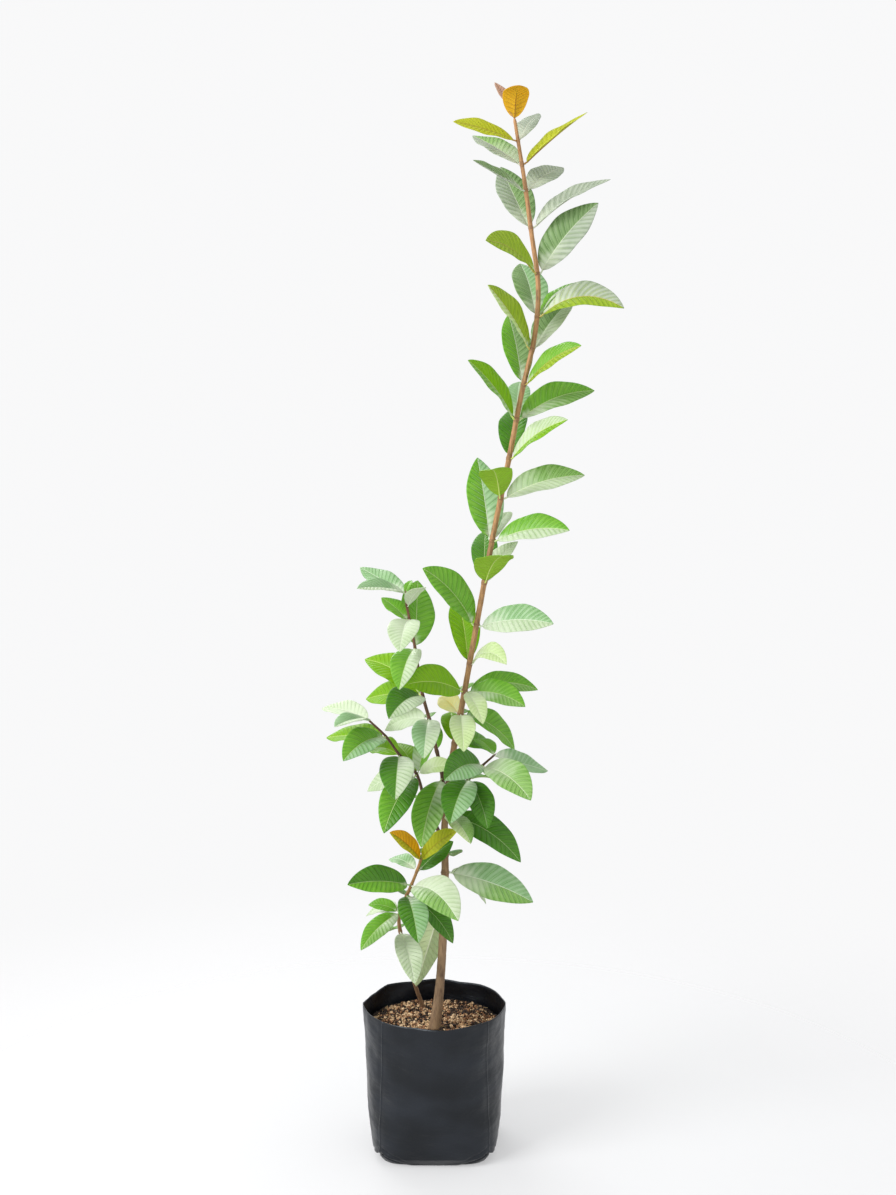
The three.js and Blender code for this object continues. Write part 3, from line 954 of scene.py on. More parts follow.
# Each tone's colours. The bluish, pale, white and grey tones are painted sheen, light mirrored by a glossy
# blade painted into its colour; the gold leaf's near-white colours are a painted glow of light through it.
LEAF_FINISHES = {
    f.tone: f
    for f in (
        LeafFinish(DEEP, "#3f7a18", "#66a034", "#a2bb88", "#7da452", "#aecb88", 0.32, 0.08),
        LeafFinish(MID, "#60a320", "#92c64f", "#adc68b", "#9bc465", "#cadd9c", 0.38, 0.12),
        LeafFinish(DUSTY, "#63874b", "#9ab780", "#adbf9b", "#abc48c", "#d4e0c2", 0.55, 0.2),
        LeafFinish(LIME, "#77ad0c", "#a0cd20", "#aacb45", "#abce3a", "#d4e67e", 0.36, 0.04, 0.34, 0.4),
        LeafFinish(BLUISH, "#79aa6a", "#aecda2", "#c3d2b9", "#b7d2a6", "#dde8cf", 0.55, 0.25),
        LeafFinish(PALE, "#70a543", "#a6cb7c", "#ccdbb2", "#c6dca2", "#e8f0cf", 0.6, 0.42, 0.32, 0.35),
        LeafFinish(WHITE, "#b2c89c", "#dae5cb", "#dfe7d1", "#cad9b5", "#e9efdb", 0.5, 0.65, 0.34, 0.35),
        LeafFinish(GREY, "#96a58d", "#c4cdbc", "#c6cdc0", "#c8cfbe", "#d6d8c4", 0.6, 0.3, 0.4, 0.3),
        LeafFinish(OLIVE, "#89a81c", "#b3cb40", "#bac97e", "#bfd05c", "#c8b868", 0.6, 0.1, 0.34, 0.35),
        LeafFinish(SPRING, "#bac228", "#d6da4c", "#cdd26c", "#a8ac22", "#ad8030", 0.45, 0.03, 0.55, 0.45),
        LeafFinish(AMBER, "#d2a012", "#f0cc32", "#ebc22a", "#a8781a", "#94601a", 0.45, 0.03, 0.34, 0.45),
        LeafFinish(ROSE, "#c09a80", "#d9baa2", "#d3b29c", "#a3715c", "#9a6048", 0.4, 0.1, 0.36, 0.35),
        LeafFinish(CREAM, "#c2da98", "#e4efc6", "#dbe5c1", "#dce8bb", "#f1f5dc", 0.5, 0.4, 0.34, 0.4),
        # Painted glow: the gold leaf's colours are lifted near white, standing in for light shining through
        # it.
        LeafFinish(GOLD, "#fff0a0", "#fffad2", "#fffbd6", "#fff0a2", "#f8cf6c", 0.5, 0.3, 0.34, 0.5),
    )
}


# ------------------------------------------------------------------ leaves


@dataclass
class BladeGrid:
    """The flat pattern that every leaf of one vein count is bent from.

    Its rows follow the side veins, so that each vein is a narrow strip of faces of its own.

    Attributes:
        vein_pairs: Pairs of side veins.
        across: Columns from the midrib to the margin, as shares of the half width.
        vein_half: Half a vein's width at the midrib, as a share of the space between two veins.
        vein_thinning: How much thinner a vein is at the margin, as a share.
        vein_end: Where the veins end, as a share of the half width.
        mesh: The pattern, with an upper and an under face.
        side: Each vertex's place across the blade, from -1 to 1.
        along: Each vertex's place along the midrib, from 0 to 1.
        swell: How far the blade swells at each vertex, less than 0 on a vein.
        face: 1 for each vertex of the upper face, and -1 for each of the under face.
    """

    vein_pairs: int
    across: tuple[float, ...] = (0.0, 0.05, 0.18, 0.38, 0.6, 0.8, 0.94, 1.0)
    vein_half: float = 0.036
    vein_thinning: float = 0.7
    vein_end: float = 0.86
    mesh: bpy.types.Mesh = field(init=False)
    side: np.ndarray = field(init=False)
    along: np.ndarray = field(init=False)
    swell: np.ndarray = field(init=False)
    face: np.ndarray = field(init=False)

    # Rows between two veins, as the share of the space between them and the swell there, the swell
    # on a vein, and the gap between the two faces of the flat pattern.
    SWELLS = ((0.3, 0.8), (0.52, 1.0), (0.76, 0.7))
    VEIN_SWELL = -0.3
    FACE_GAP = 0.1

    def __post_init__(self) -> None:
        """Makes the pattern as a flat closed sheet, and notes each vertex's place on it."""
        rows = self._rows()
        columns = [-a for a in reversed(self.across[1:])] + list(self.across)
        bm = bmesh.new()
        swell = bm.verts.layers.float.new("swell")
        for vert, column, row in numbered_grid(bm, len(columns), len(rows)):
            vert.co = (columns[column], self._thinned(rows[row][0], abs(columns[column])), 0.0)
            vert[swell] = rows[row][1]
        maps = [bm.loops.layers.uv.new(name) for name in ("Blade", "Veins")]
        for face in bm.faces:
            self._dress_face(face, maps)
        grown = bmesh.ops.extrude_face_region(bm, geom=list(bm.faces), use_keep_orig=True)["geom"]
        under_verts = {g for g in grown if isinstance(g, bmesh.types.BMVert)}
        bmesh.ops.translate(bm, vec=(0, 0, -self.FACE_GAP), verts=list(under_verts))
        for face in bm.faces:
            if all(v in under_verts for v in face.verts) and face.material_index != LeafFace.VEIN.value:
                face.material_index = LeafFace.UNDER.value
        bmesh.ops.recalc_face_normals(bm, faces=bm.faces)
        self.swell = np.array([v[swell] for v in bm.verts])
        spots = np.array([v.co[:] for v in bm.verts])
        self.side, self.along = spots[:, 0], spots[:, 1]
        self.face = np.where(spots[:, 2] < -self.FACE_GAP / 2, -1.0, 1.0)
        bm.verts.layers.float.remove(swell)
        self.mesh = close_mesh("leaf_pattern", bm)

    def _rows(self) -> list[tuple[float, float]]:
        """Lays out the rows.

        Returns:
            Each row's place along the midrib, and how far the blade swells there.
        """
        rows = [(0.0, 0.0)]
        step = 1.0 / (self.vein_pairs + 1)
        for pair in range(self.vein_pairs + 1):
            start = pair * step
            if pair:
                flank = self.vein_half * step
                rows += [(start - flank, 0.0), (start, self.VEIN_SWELL), (start + flank, 0.0)]
            rows += [(start + share * step, swell) for share, swell in self.SWELLS]
        return [*rows, (1.0, 0.0)]

    def _thinned(self, place: float, edge: float) -> float:
        """Draws the flanks of a vein in towards the margin.

        Args:
            place: A row's place at the midrib.
            edge: A share of the half width.

        Returns:
            The row's place there.
        """
        step = 1.0 / (self.vein_pairs + 1)
        vein = round(place / step) * step
        near = abs(place - vein) < self.vein_half * step * 1.01
        return vein + (place - vein) * (1 - self.vein_thinning * edge) if near else place

    def _dress_face(self, face: bmesh.types.BMFace, maps: Sequence[bmesh.types.BMLayerItem]) -> None:
        """Marks a face as vein or blade half, and gives it its places in the two maps.

        Args:
            face: The face.
            maps: The map of the blade, and the one that counts the veins.
        """
        middle = face.calc_center_median()
        intervals = self.vein_pairs + 1
        position = middle.y * intervals
        near = abs(position - round(position)) < self.vein_half
        vein = near and 0 < round(position) < intervals and abs(middle.x) < self.vein_end
        half = LeafFace.RIGHT if middle.x > 0 else LeafFace.LEFT
        face.material_index = (LeafFace.VEIN if vein else half).value
        for loop in face.loops:
            spot = loop.vert.co
            loop[maps[0]].uv = (spot.x, spot.y)
            loop[maps[1]].uv = (spot.x * 0.5 + 0.5, spot.y * intervals + 0.5)


@dataclass(frozen=True)
class Spine:
    """The bowed line of one leaf's midrib.

    Attributes:
        start: The point that the blade starts from.
        tip: The leaf's tip.
        arch: How far it bows upward, as a share of its length.
        roll: Radians that the blade is turned about it.
        twist: Radians that the blade turns further from its foot to its tip.
        level: Where along it the blade has no twist.
    """

    start: np.ndarray
    tip: np.ndarray
    arch: float
    roll: float
    twist: float
    level: float = 0.4

    def at(self, share: np.ndarray) -> tuple[np.ndarray, np.ndarray, np.ndarray]:
        """Follows the midrib.

        Args:
            share: Places along it, from 0 to 1.

        Returns:
            The points there, and the directions across the blade and away from it.
        """
        chord = self.tip - self.start
        length = float(np.linalg.norm(chord))
        ahead = chord / length
        right = unit(np.cross(ahead, UP))
        above = np.cross(right, ahead)
        bow = self.arch * length
        share = np.asarray(share, float)[:, None]
        points = self.start + chord * share + above * (bow * 4 * share * (1 - share))
        forward = ahead + above * (4 * bow * (1 - 2 * share) / length)
        forward = forward / np.linalg.norm(forward, axis=1, keepdims=True)
        turn = self.roll + self.twist * (share - self.level)
        level_normal = np.cross(right, forward)
        across = right * np.cos(turn) - level_normal * np.sin(turn)
        return points, across, np.cross(across, forward)


@dataclass
class LeafShape:
    """Bends a blade grid into one leaf.

    Attributes:
        petiole_share: Stalk as a share of the leaf's length.
        widest: Where the blade is widest, as a share of its length.
        base_power: How blunt the blade's base is: less is blunter.
        tip_power: How blunt its tip is.
        petiole_half: Half the blade's width where the stalk ends, in mm.
        tip_half: Half the blade's width at its tip, in mm.
        fold: Degrees that each half is folded up from the midrib.
        fold_change: Degrees that the fold may differ by from leaf to leaf.
        fold_ease: Share of the fold that is gone at the tip.
        twist: Degrees that a leaf may be twisted by.
        curl: How far the margins turn back down, as a share of the half width.
        wave: How high the margins' waves are, as a share of the half width.
        sweep: How far the side veins run forward, as a share of the length.
        thickness: The blade's thickness in mm.
        full_length: Length of a full-grown leaf in mm, which the next four are told for.
        quilt: How far its blade swells between its veins, in mm.
        vein_ridge: How far its side veins stand out below, in mm.
        rib_proud: How far its midrib stands out above, in mm.
        rib_girth: Its midrib's radius, as rows of share of the length and mm.
        rib_sides: Faces round the midrib.
        grids: The flat patterns made so far, by their pairs of veins.
    """

    petiole_share: float = 0.04
    widest: float = 0.47
    base_power: float = 0.62
    tip_power: float = 0.8
    petiole_half: float = 1.1
    tip_half: float = 0.5
    fold: float = 24.0
    fold_change: float = 6.0
    fold_ease: float = 0.35
    twist: float = 9.0
    curl: float = 0.16
    wave: float = 0.05
    sweep: float = 0.15
    thickness: float = 0.42
    full_length: float = 110.0
    quilt: float = 0.56
    vein_ridge: float = 0.35
    rib_proud: float = 0.32
    rib_girth: Sequence[tuple[float, float]] = (
        (-0.02, 1.45), (0.0, 1.25), (0.06, 1.05), (0.5, 0.7), (0.98, 0.28),
    )
    rib_sides: int = 6
    grids: dict[int, BladeGrid] = field(default_factory=dict)

    def half_width(self, share: np.ndarray, width: float) -> np.ndarray:
        """Works out the blade's outline.

        Args:
            share: Places along the leaf, from 0 to 1.
            width: The blade's greatest width in mm.

        Returns:
            Half the blade's width at each place, in mm.
        """
        along = np.clip((share - self.petiole_share) / (1 - self.petiole_share), 0, 1)
        power = np.where(along < self.widest, self.base_power, self.tip_power)
        ellipse = np.sin(math.pi * along**0.92) ** power
        base = self.petiole_half * (1 - smooth(along, 0, 0.1)) + self.tip_half * smooth(along, 0, 0.1)
        return np.maximum(base, width / 2 * ellipse)

    def grid(self, length: float) -> BladeGrid:
        """Finds the flat pattern for a leaf, or makes it if it is the first of its kind.

        Args:
            length: The leaf's length in mm.

        Returns:
            The pattern, with fewer veins for a shorter leaf.
        """
        pairs = 9 if length < 50 else 11 if length < 85 else 13
        if pairs not in self.grids:
            self.grids[pairs] = BladeGrid(pairs)
        return self.grids[pairs]

    def add(
        self,
        bm: bmesh.types.BMesh,
        root: np.ndarray,
        blade_root: np.ndarray,
        tip: np.ndarray,
        plan: LeafPlan,
        chance: random.Random,
    ) -> None:
        """Adds one leaf to a mesh.

        Args:
            bm: The mesh.
            root: Where the stalk leaves the bark.
            blade_root: The point that the source's leaf starts from.
            tip: The leaf's tip.
            plan: How the leaf is set.
            chance: Gives its small irregularities.
        """
        twist = math.radians(chance.uniform(-self.twist, self.twist))
        spine = Spine(blade_root, tip, plan.arch, math.radians(plan.roll), twist)
        blade = self._bend(self.grid(plan.length), spine, plan, chance)
        bm.from_mesh(blade)
        bpy.data.meshes.remove(blade)
        self._add_midrib(bm, root, spine, plan.length / self.full_length)

    def _bend(
        self, grid: BladeGrid, spine: Spine, plan: LeafPlan, chance: random.Random
    ) -> bpy.types.Mesh:
        """Bends a copy of the flat pattern.

        Args:
            grid: The pattern.
            spine: The leaf's midrib.
            plan: How the leaf is set.
            chance: Gives its small irregularities.

        Returns:
            The blade.
        """
        size = plan.length / self.full_length
        row, edge = grid.along, np.abs(grid.side)
        lean = self.sweep * np.sin(math.pi * row)
        place = row + lean * edge**1.1
        half = self.half_width(self._with_stalk(row + lean), plan.length * plan.breadth)
        points, across, normal = spine.at(self._with_stalk(place))
        fold = math.radians(self.fold + chance.uniform(-self.fold_change, self.fold_change))
        fold_here = fold * (1 - self.fold_ease * smooth(place, 0.35, 1.0))
        waves = [chance.uniform(0, 6.3) for _ in range(2)]
        wave = np.where(grid.side < 0, np.sin(place * 15 + waves[0]), np.sin(place * 13 + waves[1]))
        lift = half * (edge * np.sin(fold_here) - self.curl * edge**2.4)
        lift += self.wave * half * edge**2 * wave * np.sin(math.pi * np.clip(place, 0, 1))
        relief = smooth(edge, 0.03, 0.16) * (1 - smooth(edge, 0.84, 1.0)) * np.sin(math.pi * row) ** 0.3
        lift += self.quilt * size * grid.swell * relief
        depth = grid.face * self.thickness / 2
        ridge = (grid.face < 0) & (grid.swell < 0)
        depth = np.where(ridge, depth - self.vein_ridge * size * relief, depth)
        spots = (
            points
            + across * (grid.side * half * np.cos(fold_here))[:, None]
            + normal * (lift + depth)[:, None]
        )
        blade = grid.mesh.copy()
        blade.vertices.foreach_set("co", spots.astype(np.float32).ravel())
        return blade

    def _with_stalk(self, place: np.ndarray) -> np.ndarray:
        """Places along the blade as shares of the whole leaf's length."""
        return self.petiole_share + (1 - self.petiole_share) * place

    def _add_midrib(self, bm: bmesh.types.BMesh, root: np.ndarray, spine: Spine, size: float) -> None:
        """Adds the stalk, which runs on as the midrib and thins to the leaf's tip.

        Args:
            bm: The mesh.
            root: Where the stalk leaves the bark.
            spine: The midrib's line.
            size: The leaf's length as a share of a full-grown one's.
        """
        shares = np.concatenate([[-0.02, 0.0, 0.02], np.linspace(0.04, 0.98, 20)])
        points, across, normal = spine.at(np.maximum(shares, 0.0))
        points[0] = root
        girth = np.interp(shares, *zip(*self.rib_girth)) * size
        sunk = girth - self.rib_proud * size - self.thickness / 2
        points = points - normal * np.where(shares < self.petiole_share, 0.0, sunk)[:, None]

        def place(turn: float, row: int) -> Sequence[float]:
            """A point round the rib."""
            return ring_point(points[row], girth[row], turn, across[row], normal[row])

        first = len(bm.faces)
        wrapped_grid(bm, even_turns(self.rib_sides), range(len(shares)), place)
        mark_faces(bm, first, LeafFace.MIDRIB.value)


@dataclass
class Foliage:
    """All leaves of the plant, gathered by tone.

    Attributes:
        shape: How a leaf is bent.
        seed: Seed of the leaves' small irregularities.
        clearance: Gap between the bark and the source's collar, in mm.
        collar_wall: Wall of that collar, in mm.
        collar_share: How far into the collar's wall a leaf starts, as a share of it.
        bud_length: Length of an end bud, in mm.
        bud_share: How far up the bud its leaves start, as a share of it.
        stalk_sunk: How far a stalk starts below the bark, in mm.
        tip_stalk: How far a bud leaf's stalk starts below its blade, in mm.
    """

    shape: LeafShape = field(default_factory=LeafShape)
    seed: int = 31
    clearance: float = 0.3
    collar_wall: float = 1.9
    collar_share: float = 0.6
    bud_length: float = 9.0
    bud_share: float = 0.4
    stalk_sunk: float = 1.0
    tip_stalk: float = 2.5

    def build(self) -> list[bpy.types.Object]:
        """Makes one piece for each pair of half tones.

        Returns:
            The pieces.
        """
        meshes: dict[Coat, bmesh.types.BMesh] = defaultdict(bmesh.new)
        stands_for: dict[Coat, set[str]] = defaultdict(set)
        chance = random.Random(self.seed)
        for shoot in SHOOTS:
            limb = shoot.limb()
            for number, (height, plans) in enumerate(shoot.nodes.items(), 1):
                for plan in plans:
                    stands_for[plan.coat].add(f"{shoot.name}_leaves_{number:02d}")
                    self._add_node_leaf(meshes[plan.coat], limb, height, plan, chance)
            for plan in shoot.tip_leaves:
                stands_for[plan.coat].add(f"{shoot.name}_tip_leaves")
                self._add_tip_leaf(meshes[plan.coat], limb, plan, chance)
        uppers = {tone: finish.upper_material() for tone, finish in LEAF_FINISHES.items()}
        backs = {tone: finish.back_materials() for tone, finish in LEAF_FINISHES.items()}
        pieces = []
        for (left, right), bm in meshes.items():
            name = left.value if left == right else f"{left.value}_{right.value}"
            # A half of painted sheen takes the leaf's back and veins from its other half.
            main = left if right in PAINTED_SHEEN_TONES else right
            materials = [uppers[left], uppers[right], *backs[main]]
            slot = "young_leaf" if left in YOUNG_TONES else "leaf"
            nodes = sorted(stands_for[left, right])
            pieces.append(make_piece(f"{name}_leaves", bm, materials, slot, nodes))
        return pieces

    def _add_node_leaf(
        self, bm: bmesh.types.BMesh, limb: Limb, height: float, plan: LeafPlan, chance: random.Random
    ) -> None:
        """Adds a leaf that stands at a node of a limb.

        Args:
            bm: The mesh to add to.
            limb: The limb.
            height: The node's height in mm.
            plan: How the leaf is set.
            chance: Gives its small irregularities.
        """
        reach = limb.reach_at(height)
        centre = limb.centre(reach)
        forward = limb.axes(reach)[2]
        bark = limb.radius(height)
        direction = heading(plan.bearing, plan.rise)
        outward = unit(direction - forward * np.dot(direction, forward))
        root = centre + outward * (bark - self.stalk_sunk)
        blade_root = centre + outward * (bark + self.clearance + self.collar_share * self.collar_wall)
        self.shape.add(bm, root, blade_root, centre + direction * plan.length, plan, chance)

    def _add_tip_leaf(
        self, bm: bmesh.types.BMesh, limb: Limb, plan: LeafPlan, chance: random.Random
    ) -> None:
        """Adds a leaf of a limb's end bud.

        Args:
            bm: The mesh to add to.
            limb: The limb.
            plan: How the leaf is set.
            chance: Gives its small irregularities.
        """
        start = self.clearance + self.bud_share * self.bud_length
        blade_root = limb.centre(limb.length) + limb.end * start
        tip = blade_root + heading(plan.bearing, plan.rise) * plan.length
        self.shape.add(bm, blade_root - limb.end * self.tip_stalk, blade_root, tip, plan, chance)


# ------------------------------------------------------------------ bark


@dataclass(frozen=True)
class BarkFinish:
    """Bark of one limb, which turns from an older to a younger colour as it rises.

    Attributes:
        name: The material's name.
        old: Colour at its foot.
        young: Colour at its tip.
        dark: Colour of its cracks and streaks.
        foot: Height of its foot in mm.
        top: Height of its tip in mm.
    """

    name: str
    old: str
    young: str
    dark: str
    foot: float
    top: float

    def _base(self, sheet: NodeSheet) -> Value:
        """The slow change of colour with height."""
        height = sheet.axis(sheet.place(), "Z").step(self.foot * MM, self.top * MM)
        return sheet.mix(height, paint(self.old), paint(self.young))

    def material(self) -> bpy.types.Material:
        """Fine streaks along the limb over its slow change of colour.

        Returns:
            The material.
        """
        sheet = NodeSheet(self.name)
        streaks = sheet.noise(sheet.place((1.0, 1.0, 0.16)), 420, 5, 0.65)
        blotches = sheet.noise(sheet.place((1.0, 1.0, 0.5)), 60, 3)
        darkness = streaks.step(0.42, 0.68) * 0.6 + blotches.step(0.5, 0.75) * 0.35
        return sheet.finish(
            Base_Color=sheet.mix(darkness, self._base(sheet), paint(self.dark)),
            Roughness=0.55 + 0.25 * streaks,
            Normal=sheet.bump(streaks, 0.5, 0.0006),
        )

    def scar(self) -> bpy.types.Material:
        """The darker ring of a leaf node.

        Returns:
            The material.
        """
        sheet = NodeSheet(f"{self.name}_node")
        streaks = sheet.noise(sheet.place(), 500, 4)
        darkness = 0.6 - streaks.step(0.4, 0.7) * 0.4
        return sheet.finish(
            Base_Color=sheet.mix(darkness, self._base(sheet), paint(self.dark)),
            Roughness=0.7,
            Normal=sheet.bump(streaks, 0.6, 0.0005),
        )


@dataclass
class Wood:
    """A limb's bark as a relief mesh, with a swollen ring at each leaf node and an end bud.

    Attributes:
        shoot: The limb's shoot.
        finish: Its bark.
        slot: The record's material slot of its bark.
        sides: Faces round the limb.
        spacing: Distance between rings in mm.
        relief: Depth of the bark's relief, as a share of the radius.
        squareness: How square the section of the young wood is.
        young_span: Where that squareness comes in, as shares of the limb's length.
        ring_swell: How far a node's ring swells, as a share of the radius.
        ring_width: How far along the limb that swelling fades, in mm.
        scar_reach: How far past the bark a node's scar is looked for, in mm.
        bud: Length of the end bud in mm.
        bud_swell: The bud's radius at its foot, as a share of the limb's.
        bud_point: The bud's least radius, as a share of the limb's.
        bud_rings: Its rings, as shares of its length.
    """

    shoot: Shoot
    finish: BarkFinish
    slot: str
    sides: int = 20
    spacing: float = 2.6
    relief: float = 0.05
    squareness: float = 0.05
    young_span: tuple[float, float] = (0.25, 0.7)
    ring_swell: float = 0.18
    ring_width: float = 2.6
    scar_reach: float = 1.3
    bud: float = 9.3
    bud_swell: float = 1.15
    bud_point: float = 0.12
    bud_rings: tuple[float, ...] = (0.2, 0.45, 0.7, 0.9, 1.0)

    def build(self) -> list[bpy.types.Object]:
        """Makes the limb's piece.

        Returns:
            The piece, as a list of one.
        """
        limb = self.shoot.limb()
        nodes = [limb.reach_at(height) for height in self.shoot.nodes]
        reaches = [*np.arange(0, limb.length, self.spacing), limb.length]
        reaches += [limb.length + self.bud * share for share in self.bud_rings]
        bm = bmesh.new()
        wrapped_grid(bm, even_turns(self.sides), reaches, partial(self._bark, limb, nodes))
        bmesh.ops.recalc_face_normals(bm, faces=bm.faces)
        scars = [limb.centre(node) for node in nodes]
        for face in bm.faces:
            middle = np.array(face.calc_center_median())
            near = min(np.linalg.norm(middle - scar) for scar in scars)
            face.material_index = 1 if near < limb.radius(middle[2]) + self.scar_reach else 0
        materials = [self.finish.material(), self.finish.scar()]
        return [make_piece(f"{self.shoot.name}_bark", bm, materials, self.slot, [self.shoot.name])]

    def _bark(self, limb: Limb, nodes: Sequence[float], turn: float, reach: float) -> np.ndarray:
        """Finds a point of the bark or of the end bud.

        Args:
            limb: The limb.
            nodes: How far along it its leaf nodes lie, in mm.
            turn: How far round it the point lies, from 0 up to 1.
            reach: How far along it the point lies, in mm; past the limb's end is the bud.

        Returns:
            The point.
        """
        inner = min(reach, limb.length)
        side, deep, _ = limb.axes(inner)
        centre = limb.centre(inner) + limb.end * (reach - inner)
        radius = limb.radius(centre[2])
        young = smooth(reach, *(share * limb.length for share in self.young_span))
        radius *= 1 + self.squareness * young * math.cos(4 * (math.tau * turn))
        radius *= 1 + self.ring_swell * hump(min(abs(reach - node) for node in nodes), self.ring_width)
        flat = ring_point(centre, radius, turn, side, deep)
        rough = grain((flat[0], flat[1], flat[2] * 0.3), 3.2) + 0.5 * grain(flat, 1.6, 7.0)
        radius *= 1 + self.relief * rough
        beyond = (reach - limb.length) / self.bud
        if beyond > 0:
            radius *= max(self.bud_point, self.bud_swell * (1 - beyond**1.5))
        return ring_point(centre, radius, turn, side, deep)


# ------------------------------------------------------------------ grow bag


@dataclass(frozen=True)
class FilmFinish:
    """Black polyethylene film with a satin face and fine stretch wrinkles.

    Attributes:
        colour: The film's colour.
        sheen_and_scuff: The paler colour of its painted reflections, soft patches that stand in for light
            mirrored off its dents, and of its scuffs.
        tint: Tint of its gloss.
    """

    colour: str = "#08090d"
    sheen_and_scuff: str = "#262a32"
    tint: Colour = (0.86, 0.93, 1.0)

    def material(self) -> bpy.types.Material:
        """Builds the film's material.

        Returns:
            The material.
        """
        sheet = NodeSheet("black_film")
        haze_and_sheen = sheet.noise(sheet.place((1.0, 1.0, 1.8)), 12, 2.5, 0.45)
        dents = sheet.noise(sheet.place((1.0, 1.0, 1.3)), 17, 1.5, 0.4)
        wrinkles = sheet.noise(sheet.place((1.0, 1.0, 3.0)), 60, 3) * 0.08 + dents
        scuffs = sheet.noise(sheet.place(), 320, 4, 0.7).step(0.62, 0.8)
        # Painted reflection: soft paler patches stand in for light mirrored off the film's dents; the small
        # scuffs are wear. The same noise also varies the roughness of its haze.
        sheen_and_wear = haze_and_sheen.step(0.36, 0.75) * 0.45 + scuffs * 0.15
        return sheet.finish(
            Base_Color=sheet.mix(sheen_and_wear, paint(self.colour), paint(self.sheen_and_scuff)),
            Roughness=0.28 + 0.16 * haze_and_sheen + 0.1 * scuffs,
            Normal=sheet.bump(wrinkles, 0.7, 0.016),
            IOR=1.42,
            Specular_Tint=self.tint,
        )


@dataclass(frozen=True)
class CornerTuck:
    """The folded flap at one corner of the bag's base.

    Attributes:
        height: Height of the flap's edge at the corner, in mm.
        slope: How fast that edge falls away from the corner.
        reach: How far round the bag the flap ends, in mm.
        depth: How far the film stands in below the edge, in mm.
        crease: Depth of the crease above the edge, in mm.
        pocket: Depth of the pocket at the edge, in mm.
        pocket_reach: How far round the bag the pocket ends, in mm.
    """

    height: float = 17.0
    slope: float = 0.42
    reach: float = 34.0
    depth: float = 2.4
    crease: float = 1.2
    pocket: float = 5.2
    pocket_reach: float = 25.0

    def inset(self, arc: float, height: float) -> float:
        """Measures how far the film stands in.

        Args:
            arc: Millimetres round the bag from the corner.
            height: Millimetres above the floor.

        Returns:
            The inset in mm.
        """
        edge = self.height - self.slope * arc
        near = float(smooth(self.reach - arc, 0, 8))
        under = float(smooth(edge - height, 0, 1.4))
        crease = hump(height - edge - 7.0, 2.2)
        pocket = hump(height - edge + 2.6, 1.9) * float(smooth(self.pocket_reach - arc, 0, 14))
        return near * (self.depth * under + self.crease * crease) + self.pocket * pocket


